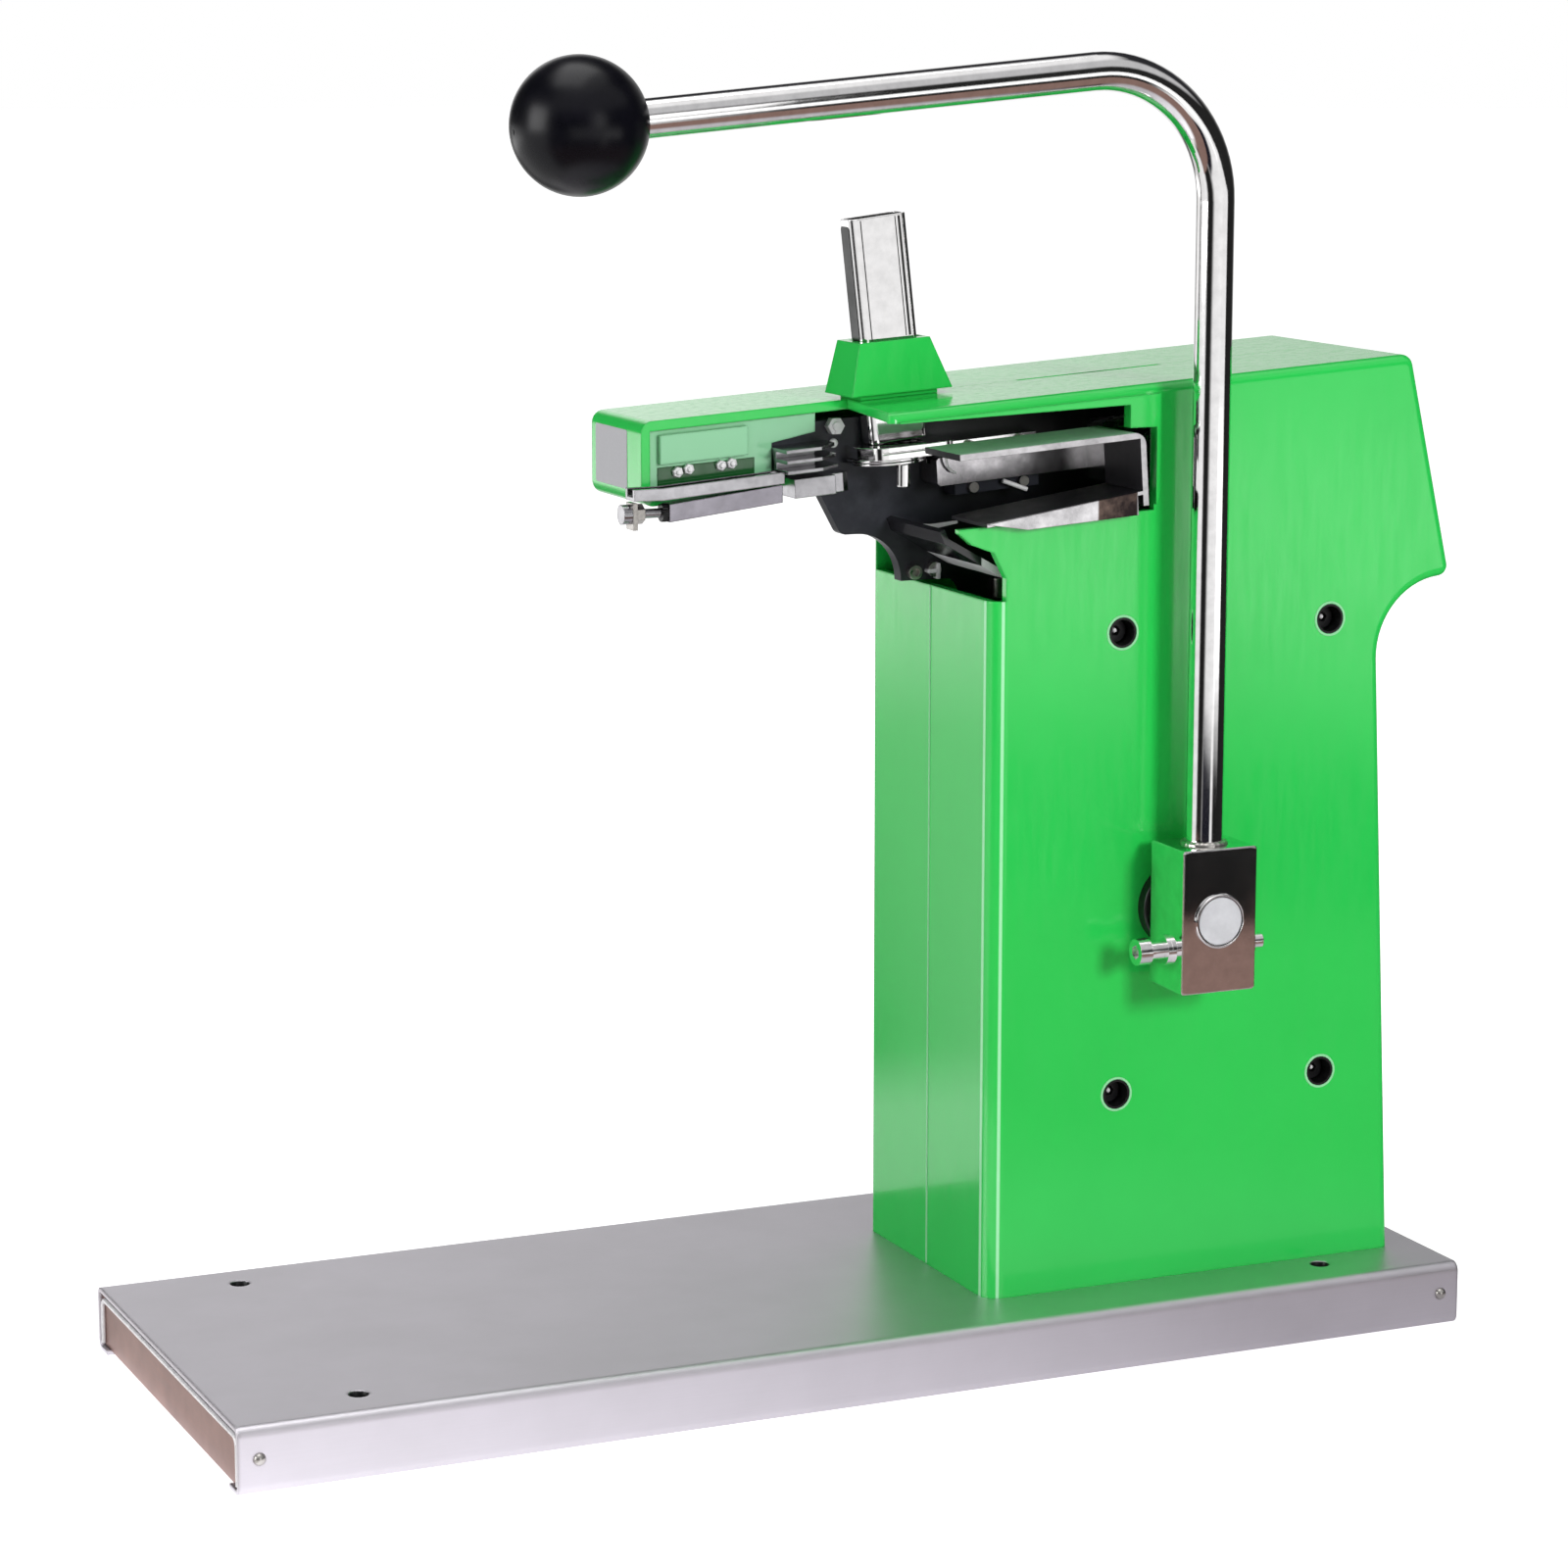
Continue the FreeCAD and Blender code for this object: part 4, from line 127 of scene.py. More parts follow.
class Tree:
    """Builds the node tree of one material or of the world."""

    def __init__(self, owner: Material | bpy.types.World) -> None:
        """Start with no nodes.

        Args:
            owner: The material or world that the tree belongs to.
        """
        self.owner = owner
        owner.use_nodes = True
        self.nodes = owner.node_tree.nodes
        self.links = owner.node_tree.links
        self.nodes.clear()

    @classmethod
    def material(cls, name: str) -> "Tree":
        """The tree of a new material."""
        return cls(bpy.data.materials.new(name))

    def add(self, kind: str, inputs: dict[Any, Any] | None = None, **settings: Any) -> bpy.types.Node:
        """Add one node.

        Args:
            kind: Node type, without its ShaderNode prefix.
            inputs: Values or sockets for the node's inputs, by name or number.
            **settings: Properties of the node.

        Returns:
            The new node.
        """
        node = self.nodes.new("ShaderNode" + kind)
        for key, value in settings.items():
            setattr(node, key, value)
        for key, value in (inputs or {}).items():
            if isinstance(value, bpy.types.NodeSocket):
                self.links.new(value, node.inputs[key])
            elif isinstance(value, tuple) and len(value) == 3 and node.inputs[key].type == "RGBA":
                node.inputs[key].default_value = (*value, 1.0)
            else:
                node.inputs[key].default_value = value
        return node

    def place(self, stretch: Sequence[float] = (1, 1, 1), shift: Sequence[float] = (0, 0, 0)) -> Socket:
        """Coordinates on the object.

        Args:
            stretch: Scale along X, Y and Z.
            shift: Offset in metres, before the scale.

        Returns:
            The mapped vector.
        """
        source = self.add("TexCoord").outputs["Object"]
        moved = self.add("VectorMath", {0: source, 1: tuple(shift)}, operation="SUBTRACT").outputs[0]
        return self.add("VectorMath", {0: moved, 1: tuple(stretch)}, operation="MULTIPLY").outputs[0]

    def split(self, vector: Socket) -> Sequence[Socket]:
        """X, Y and Z of a vector."""
        return self.add("SeparateXYZ", {0: vector}).outputs

    def facing(self) -> Sequence[Socket]:
        """X, Y and Z of the surface's normal."""
        return self.split(self.add("TexCoord").outputs["Normal"])

    def compass(self, x: Socket, y: Socket) -> Socket:
        """Direction seen from above, as a share of a turn from +X."""
        turn = self.maths("DIVIDE", self.maths("ARCTAN2", y, x), 2 * math.pi)
        return self.maths("FRACT", self.maths("ADD", turn, 1.0))

    def noise(self, vector: Socket, scale: float, detail: float = 3.0, rough: float = 0.55) -> Socket:
        """A noise field.

        Args:
            vector: Coordinates.
            scale: Cells per metre of the stretched coordinates.
            detail: Octaves.
            rough: Share of the finer octaves.

        Returns:
            The field, around 0.5.
        """
        node = self.add("TexNoise", {"Vector": vector, "Scale": scale, "Detail": detail, "Roughness": rough})
        return node.outputs[0]

    def cells(self, vector: Socket, scale: float, feature: str = "F1") -> Socket:
        """Voronoi cells' distance field at a scale per metre."""
        return self.add("TexVoronoi", {"Vector": vector, "Scale": scale}, feature=feature).outputs["Distance"]

    def span(self, value: Socket, low: float, high: float, start: float = 0.0, end: float = 1.0) -> Socket:
        """Remap a field.

        Args:
            value: The field.
            low: Output at start.
            high: Output at end.
            start: Input that gives low.
            end: Input that gives high.

        Returns:
            The remapped and clamped field.
        """
        inputs = {"Value": value, "From Min": start, "From Max": end, "To Min": low, "To Max": high}
        return self.add("MapRange", inputs).outputs[0]

    def rise(self, value: Socket, start: float = 0.0, end: float = 1.0) -> Socket:
        """Remap a field to nothing at start and one at end."""
        return self.span(value, 0.0, 1.0, start, end)

    def fall(self, value: Socket, start: float = 0.0, end: float = 1.0) -> Socket:
        """Remap a field to one at start and nothing at end."""
        return self.span(value, 1.0, 0.0, start, end)

    def window(self, value: Socket, low: float, high: float, soft: float) -> Socket:
        """One between low and high, nothing beyond their soft flanks."""
        return self.maths("MULTIPLY", self.rise(value, low - soft, low), self.fall(value, high, high + soft))

    def maths(self, kind: str, first: Any, second: Any = 0.0) -> Socket:
        """One scalar operation on two values or sockets."""
        return self.add("Math", {0: first, 1: second}, operation=kind).outputs[0]

    def blend(self, share: Socket, first: Any, second: Any) -> Socket:
        """Colour between first and second, by share."""
        node = self.add("Mix", {0: share, 6: first, 7: second}, data_type="RGBA")
        return node.outputs[2]

    def soft_edges(self, radius: float) -> Socket:
        """Normals rounded over the edges by a radius in millimetres."""
        return self.add("Bevel", {"Radius": radius * MM}, samples=4).outputs[0]

    def bump(self, height: Socket, depth: float, normal: Socket | None = None) -> Socket:
        """Raise the surface by a field.

        Args:
            height: The field.
            depth: Millimetres for a step of one in the field.
            normal: Normals to start from.

        Returns:
            The bumped normals.
        """
        inputs: dict[Any, Any] = {"Height": height, "Distance": depth * MM, "Strength": 1.0}
        if normal is not None:
            inputs["Normal"] = normal
        return self.add("Bump", inputs).outputs[0]

    def finish(self, **inputs: Any) -> Material:
        """Close the tree with a Principled shader.

        Args:
            **inputs: Its inputs, with underscores for the spaces in their names.

        Returns:
            The finished material.
        """
        named = {key.replace("_", " "): value for key, value in inputs.items()}
        shader = self.add("BsdfPrincipled", named)
        self.add("OutputMaterial", {"Surface": shader.outputs[0]})
        return self.owner


# ------------------------------------------------------------------ finishes


def shade(colour: Colour, share: float) -> Colour:
    """A colour darkened to a share of itself."""
    return tuple(share * c for c in colour)


@dataclass(frozen=True)
class Finish:
    """A surface finish; each kind of finish builds its own material.

    The scales of patterns are in cells per metre, depths and edge radii in millimetres.
    """

    name: str

    def build(self) -> Material:
        """Make the material."""
        raise NotImplementedError


@dataclass(frozen=True)
class MouldedPlastic(Finish):
    """Glossy moulded plastic with flow variation, a fine skin and light scuffs.

    Where its rounded upright edges face the given shares of a turn, a pale colour is painted in: a painted
    highlight along those edges.
    """

    colour: Colour = (0.022, 0.56, 0.082)
    deep: Colour = (0.018, 0.52, 0.074)
    painted_sheen: Colour = (0.34, 0.80, 0.42)
    painted_sheen_turns: Pairs = ((0.688, 0.708), (0.518, 0.536))
    painted_sheen_soft: float = 0.008
    gloss: float = 0.16
    flow_scale: float = 14.0
    scuff_scale: float = 380.0
    skin_scale: float = 900.0
    skin_depth: float = 0.012
    edge: float = 0.9

    def build(self) -> Material:
        """Make the material.

        Returns:
            The green moulding's material.
        """
        tree = Tree.material(self.name)
        where = tree.place()
        flow = tree.rise(tree.noise(where, self.flow_scale, 4.0), 0.3, 0.7)
        base = tree.blend(flow, self.deep, self.colour)
        facing = tree.facing()
        turn = tree.compass(facing[0], facing[1])
        # painted highlight: pale colour on upright faces turned to the sheen's shares of a turn
        lines = (tree.window(turn, low, high, self.painted_sheen_soft) for low, high in self.painted_sheen_turns)
        upright = tree.window(facing[2], -0.4, 0.4, 0.1)
        painted_sheen = tree.maths("MULTIPLY", tree.maths("MAXIMUM", *lines), upright)
        base = tree.blend(painted_sheen, base, self.painted_sheen)
        scuff = tree.noise(tree.place((1.0, 1.0, 0.12)), self.scuff_scale, 6.0, 0.7)
        rough = tree.span(scuff, self.gloss - 0.05, self.gloss + 0.1, 0.35, 0.7)
        normal = tree.bump(tree.noise(where, self.skin_scale), self.skin_depth, tree.soft_edges(self.edge))
        return tree.finish(Base_Color=base, Roughness=rough, Normal=normal, IOR=1.5,
                           Coat_Weight=0.3, Coat_Roughness=0.06)


@dataclass(frozen=True)
class BrushedSheet(Finish):
    """Brushed stainless sheet."""

    colour: Colour = (0.60, 0.585, 0.60)
    dark: Colour = (0.42, 0.41, 0.425)
    grain: Grain = Grain.ALONG_X
    rough: float = 0.34
    edge: float = 0.3
    line_scale: float = 2600.0
    band_scale: float = 260.0
    cloud_scale: float = 30.0
    depth: float = 0.0025

    def build(self) -> Material:
        """Make the material.

        Returns:
            The sheet's material.
        """
        tree = Tree.material(self.name)
        along = tree.place(self.grain.value)
        lines = tree.noise(along, self.line_scale, 4.0, 0.7)
        bands = tree.noise(along, self.band_scale)
        cloud = tree.noise(tree.place(), self.cloud_scale, 5.0, 0.6)
        fine, wide = tree.span(lines, 0.0, 0.4, 0.3, 0.7), tree.span(cloud, 0.0, 0.6, 0.35, 0.65)
        tone = tree.maths("ADD", fine, wide)
        base = tree.blend(tone, self.dark, self.colour)
        rough = tree.span(lines, self.rough - 0.03, self.rough + 0.04, 0.3, 0.7)
        height = tree.maths("ADD", lines, tree.maths("MULTIPLY", bands, 0.15))
        normal = tree.bump(height, self.depth, tree.soft_edges(self.edge))
        return tree.finish(Base_Color=base, Metallic=1.0, Roughness=rough, Normal=normal)


@dataclass(frozen=True)
class BrightMetal(Finish):
    """Chromed or polished metal with faint wipe marks and pits.

    Left of ``black_to``, in metres along X, it is blackened.
    """

    colour: Colour = (0.86, 0.85, 0.85)
    black: Colour = (0.012, 0.012, 0.015)
    black_to: float | None = None
    dull: float = 0.86
    metallic: float = 1.0
    rough: float = 0.07
    wipe: float = 0.05
    edge: float = 0.3
    haze_scale: float = 55.0
    tone_scale: float = 240.0
    wave_scale: float = 130.0
    wave: float = 0.004

    def build(self) -> Material:
        """Make the material.

        Returns:
            The bright metal's material.
        """
        tree = Tree.material(self.name)
        where = tree.place()
        haze = tree.noise(where, self.haze_scale, 5.0, 0.6)
        rough = tree.span(haze, self.rough, self.rough + self.wipe, 0.4, 0.75)
        tone = tree.rise(tree.noise(where, self.tone_scale), 0.35, 0.75)
        base = tree.blend(tone, self.colour, shade(self.colour, self.dull))
        if self.black_to is not None:
            black = tree.fall(tree.split(where)[0], self.black_to - 0.5 * MM, self.black_to)
            base = tree.blend(black, base, self.black)
        height = tree.noise(where, self.wave_scale, 4.0, 0.5)
        normal = tree.bump(height, self.wave, tree.soft_edges(self.edge))
        return tree.finish(Base_Color=base, Metallic=self.metallic, Roughness=rough, Normal=normal)


@dataclass(frozen=True)
class CarriageSheet(Finish):
    """The carriage's sheet: polished, with a pale green painted reflection of the green housing on its top
    and near-black painted shade inside.

    ``top_z`` and ``patch_x``, in metres, part its top from its sides and bound a dark brownish patch on its
    front.
    """

    colour: Colour = (0.46, 0.45, 0.46)
    coat: Colour = (0.42, 0.74, 0.50)
    inside: Colour = (0.014, 0.013, 0.016)
    dark_patch: Colour = (0.085, 0.06, 0.05)
    dark_patch_core: Colour = (0.02, 0.015, 0.015)
    top_z: float = 0.290
    patch_x: Pair = (0.0799, 0.0932)
    dull: float = 0.7
    haze_scale: float = 90.0
    wave_scale: float = 130.0
    wave: float = 0.01
    edge: float = 0.2

    def build(self) -> Material:
        """Make the material.

        Returns:
            The carriage's material.
        """
        tree = Tree.material(self.name)
        where = tree.place()
        spot, facing = tree.split(where), tree.facing()
        haze = tree.noise(where, self.haze_scale, 5.0, 0.65)
        up = tree.rise(facing[2], 0.6, 0.8)
        # painted reflection: upward faces above top_z are painted pale green, not metallic, as the reflected
        # green housing
        top = tree.maths("MULTIPLY", up, tree.rise(spot[2], self.top_z, self.top_z + MM))
        # painted shade: the tray's inward faces (its closed end and its floor below top_z) are painted near
        # black
        closed = tree.fall(facing[0], -0.8, -0.6)
        dark = tree.maths("MAXIMUM", closed, tree.maths("SUBTRACT", up, top))
        # a dark brownish patch on the front faces below top_z, within patch_x
        front = tree.fall(facing[1], -0.8, -0.6)
        low = tree.fall(spot[2], self.top_z, self.top_z + MM)
        patched = tree.maths("MULTIPLY", front, low)
        patched = tree.maths("MULTIPLY", patched, tree.window(spot[0], *self.patch_x, 0.6 * MM))
        base = tree.blend(tree.rise(haze, 0.35, 0.7), self.colour, shade(self.colour, self.dull))
        base = tree.blend(patched, base, tree.blend(tree.rise(haze, 0.4, 0.6), self.dark_patch, self.dark_patch_core))
        base = tree.blend(dark, base, self.inside)
        base = tree.blend(top, base, self.coat)
        rough = tree.maths("ADD", tree.span(haze, 0.1, 0.22, 0.35, 0.7), tree.maths("MULTIPLY", dark, 0.22))
        metal = tree.fall(tree.maths("MAXIMUM", top, dark))
        normal = tree.bump(tree.noise(where, self.wave_scale, 4.0), self.wave, tree.soft_edges(self.edge))
        return tree.finish(Base_Color=base, Metallic=metal, Roughness=rough, Normal=normal)


@dataclass(frozen=True)
class PlatedSteel(Finish):
    """Zinc-plated or plain steel: mottled, half matt, a little tinted."""

    colour: Colour = (0.62, 0.60, 0.57)
    dark: Colour = (0.36, 0.34, 0.32)
    rough: float = 0.3
    metallic: float = 1.0
    edge: float = 0.2
    flake_scale: float = 700.0
    cloud_scale: float = 160.0
    pit_scale: float = 1500.0
    pit_depth: float = 0.006

    def build(self) -> Material:
        """Make the material.

        Returns:
            The plated steel's material.
        """
        tree = Tree.material(self.name)
        where = tree.place()
        flakes = tree.cells(where, self.flake_scale)
        cloud = tree.noise(where, self.cloud_scale, 4.0)
        fine, wide = tree.span(flakes, 0.0, 0.4, 0.1, 0.8), tree.span(cloud, 0.0, 0.6, 0.35, 0.65)
        tone = tree.maths("ADD", fine, wide)
        base = tree.blend(tone, self.dark, self.colour)
        rough = tree.span(cloud, self.rough - 0.06, self.rough + 0.14, 0.3, 0.7)
        normal = tree.bump(tree.noise(where, self.pit_scale), self.pit_depth, tree.soft_edges(self.edge))
        return tree.finish(Base_Color=base, Metallic=self.metallic, Roughness=rough, Normal=normal)


@dataclass(frozen=True)
class TurnedEnd(Finish):
    """Turned round bar: tool rings round its own axis, which runs along Y at a place in metres."""

    axis_x: float = 0.0
    axis_z: float = 0.0
    colour: Colour = (0.78, 0.79, 0.83)
    dull: float = 0.8
    metallic: float = 0.3
    edge: float = 0.3
    ring_scale: float = 420.0
    ring_depth: float = 0.006
    haze_scale: float = 120.0

    def build(self) -> Material:
        """Make the material.

        Returns:
            The turned end's material.
        """
        tree = Tree.material(self.name)
        where = tree.place((1, 0, 1), (self.axis_x, 0, self.axis_z))
        inputs = {"Vector": where, "Scale": self.ring_scale, "Distortion": 0.6, "Detail": 2.0}
        rings = tree.add("TexWave", inputs, wave_type="RINGS", rings_direction="SPHERICAL").outputs[0]
        haze = tree.rise(tree.noise(tree.place(), self.haze_scale, 4.0), 0.35, 0.7)
        base = tree.blend(haze, shade(self.colour, self.dull), self.colour)
        normal = tree.bump(rings, self.ring_depth, tree.soft_edges(self.edge))
        return tree.finish(Base_Color=base, Metallic=self.metallic, Roughness=tree.span(rings, 0.3, 0.42),
                           Normal=normal)


@dataclass(frozen=True)
class SatinPaint(Finish):
    """Sprayed or baked coat over steel: fine orange peel and paler rubbed spots.

    ``inside``, in metres along X, is where it darkens to near black: painted shade, standing in for the shade
    inside a casing.
    """

    colour: Colour = (0.016, 0.017, 0.024)
    worn: Colour = (0.05, 0.052, 0.064)
    painted_shade: Colour = (0.002, 0.002, 0.003)
    inside: Pair | None = None
    rough: float = 0.36
    metallic: float = 0.1
    edge: float = 0.3
    rub_scale: float = 45.0
    peel_scale: float = 700.0
    peel: float = 0.02

    def build(self) -> Material:
        """Make the material.

        Returns:
            The paint's material.
        """
        tree = Tree.material(self.name)
        where = tree.place()
        rub = tree.noise(where, self.rub_scale, 6.0, 0.65)
        base = tree.blend(tree.rise(rub, 0.5, 0.8), self.colour, self.worn)
        # painted shade: darker past inside along X, where the casing's shade falls
        if self.inside is not None:
            base = tree.blend(tree.rise(tree.split(where)[0], *self.inside), base, self.painted_shade)
        rough = tree.span(rub, self.rough, self.rough + 0.14, 0.35, 0.7)
        normal = tree.bump(tree.noise(where, self.peel_scale), self.peel, tree.soft_edges(self.edge))
        return tree.finish(Base_Color=base, Roughness=rough, Normal=normal, Metallic=self.metallic)


@dataclass(frozen=True)
class BallPlastic(Finish):
    """Pressed black knob plastic, polished, with very faint swirls."""

    colour: Colour = (0.002, 0.002, 0.004)
    swirl: Colour = (0.005, 0.0045, 0.008)
    swirl_scale: float = 60.0
    skin_scale: float = 420.0
    skin_depth: float = 0.004

    def build(self) -> Material:
        """Make the material.

        Returns:
            The knob's material.
        """
        tree = Tree.material(self.name)
        where = tree.place()
        swirl = tree.noise(where, self.swirl_scale, 6.0, 0.65)
        base = tree.blend(tree.rise(swirl, 0.45, 0.8), self.colour, self.swirl)
        normal = tree.bump(tree.noise(where, self.skin_scale, 2.0), self.skin_depth)
        rough = tree.span(swirl, 0.27, 0.33, 0.4, 0.75)
        return tree.finish(Base_Color=base, Roughness=rough, Normal=normal, IOR=1.3)


@dataclass(frozen=True)
class SoftRubber(Finish):
    """Matt black rubber."""

    colour: Colour = (0.012, 0.012, 0.012)
    dusty: Colour = (0.04, 0.038, 0.036)
    dust_scale: float = 300.0
    depth: float = 0.03
    edge: float = 0.3

    def build(self) -> Material:
        """Make the material.

        Returns:
            The rubber's material.
        """
        tree = Tree.material(self.name)
        dust = tree.noise(tree.place(), self.dust_scale, 5.0, 0.7)
        base = tree.blend(tree.rise(dust, 0.45, 0.8), self.colour, self.dusty)
        normal = tree.bump(dust, self.depth, tree.soft_edges(self.edge))
        return tree.finish(Base_Color=base, Roughness=tree.span(dust, 0.55, 0.8), Normal=normal)


@dataclass(frozen=True)
class PaperSticker(Finish):
    """Blank white sticker paper with a faint fibre."""

    colour: Colour = (0.44, 0.44, 0.46)
    dull: float = 0.9
    fibre_scale: float = 1800.0
    depth: float = 0.01

    def build(self) -> Material:
        """Make the material.

        Returns:
            The sticker's material.
        """
        tree = Tree.material(self.name)
        fibre = tree.noise(tree.place(), self.fibre_scale, 4.0, 0.7)
        base = tree.blend(tree.rise(fibre, 0.3, 0.7), shade(self.colour, self.dull), self.colour)
        normal = tree.bump(fibre, self.depth)
        return tree.finish(Base_Color=base, Roughness=tree.span(fibre, 0.4, 0.55), Normal=normal)


GREEN = MouldedPlastic("green_moulding")
# painted highlight: a pale copy of the green moulding for the beads round the recesses and along the seam
HIGHLIGHT_GREEN = MouldedPlastic("highlight_green_moulding", colour=(0.30, 0.74, 0.38), deep=(0.26, 0.70, 0.34))
COVER_GREEN = MouldedPlastic("cover_green_moulding", colour=(0.24, 0.55, 0.32), deep=(0.22, 0.53, 0.29))
SHADE_GREEN = MouldedPlastic("shade_green_moulding", colour=(0.004, 0.09, 0.014), deep=(0.003, 0.07, 0.011))
BASE_SHEET = BrushedSheet("brushed_base_sheet", colour=(0.71, 0.68, 0.73), dark=(0.65, 0.625, 0.665),
                          rough=0.42, edge=1.5)
CAP_SHEET = BrushedSheet("brushed_cap_sheet", colour=(0.37, 0.205, 0.17), dark=(0.17, 0.085, 0.07),
                         grain=Grain.ALONG_Y)
CARRIAGE_SHEET = CarriageSheet("carriage_sheet")
CHROME = BrightMetal("chrome", rough=0.045, wipe=0.04, edge=0.5)
BRIGHT_STRIP = BrightMetal("bright_strip", rough=0.12, wipe=0.12, wave=0.02, edge=0.15)
# painted highlight: white and not metallic, so the strip looks bright in the shade where it sits
GUIDE_STRIP = BrightMetal("guide_strip", colour=(0.95, 0.94, 0.96), black_to=0.0462, metallic=0.0,
                          rough=0.12, wipe=0.1, wave=0.01, edge=0.15)
BAR_STRIP = BrightMetal("bar_strip", colour=(0.47, 0.455, 0.47), dull=0.62,
                        rough=0.14, wipe=0.16, wave=0.03, edge=0.15)
RAIL_STRIP = BrightMetal("rail_strip", colour=(0.36, 0.355, 0.37), dull=0.8,
                         rough=0.14, wipe=0.12, wave=0.014, edge=0.4)
LILAC_STRIP = BrightMetal("lilac_strip", colour=(0.29, 0.275, 0.31), dull=0.85,
                          rough=0.16, wipe=0.12, wave=0.014, edge=0.4)
ZINC = PlatedSteel("zinc_plated")
# near-white, almost not metallic; on the cap rims and the recess glints it is a painted highlight
PALE_PLATE_AND_HIGHLIGHT = PlatedSteel("pale_plating_and_painted_highlight", colour=(0.95, 0.94, 0.95), dark=(0.72, 0.71, 0.73), metallic=0.2)
PLAIN = PlatedSteel("plain_steel", colour=(0.56, 0.55, 0.55), dark=(0.34, 0.335, 0.335), rough=0.26)
BRONZE = PlatedSteel("sintered_bronze", colour=(0.42, 0.27, 0.13), dark=(0.24, 0.14, 0.06), rough=0.42)
SPRING = PlatedSteel("spring_wire", colour=(0.5, 0.5, 0.5), dark=(0.22, 0.22, 0.22), rough=0.28)
# also the painted shadow in the gaps between the end caps and the top sheet
BLACK_PAINT_AND_SHADE = SatinPaint("black_paint_and_painted_shade")
# painted shade: darkens towards near black past 0.03 m along X, inside the casing
FRAME_PAINT_AND_SHADE = SatinPaint("frame_paint_and_painted_shade", inside=(0.03, 0.06))
# also the painted shade in the screw recesses and the bench holes
BLACK_OXIDE_AND_SHADE = SatinPaint("black_oxide_and_painted_shade", colour=(0.006, 0.006, 0.007), worn=(0.02, 0.019, 0.018),
                         rough=0.3, peel=0.006)
KNOB = BallPlastic("knob_plastic")
RUBBER = SoftRubber("stop_rubber")
STICKER = PaperSticker("blank_sticker")


class Shelf:
    """Holds the materials, each built once."""

    def __init__(self) -> None:
        """Start with nothing built."""
        self.built: dict[str, Material] = {}

    def take(self, finish: Finish) -> Material:
        """The material of a finish, built at its first use.

        Args:
            finish: The finish.

        Returns:
            Its one material.
        """
        if finish.name not in self.built:
            self.built[finish.name] = finish.build()
        return self.built[finish.name]


# ------------------------------------------------------------------ mesh tools


def around(count: int) -> list[float]:
    """Angles of equal steps round a turn."""
    return [2 * math.pi * k / count for k in range(count)]


def bridge(form: Form, first: Sequence[Any], second: Sequence[Any]) -> None:
    """Draw faces between two rings of corners.

    Args:
        form: The form that gets the faces.
        first: One ring; corners that fall together give triangles.
        second: The next ring, with as many corners.
    """
    for k in range(len(first)):
        n = (k + 1) % len(first)
        corners = dict.fromkeys((first[k], first[n], second[n], second[k]))
        if len(corners) > 2:
            form.faces.new(corners)


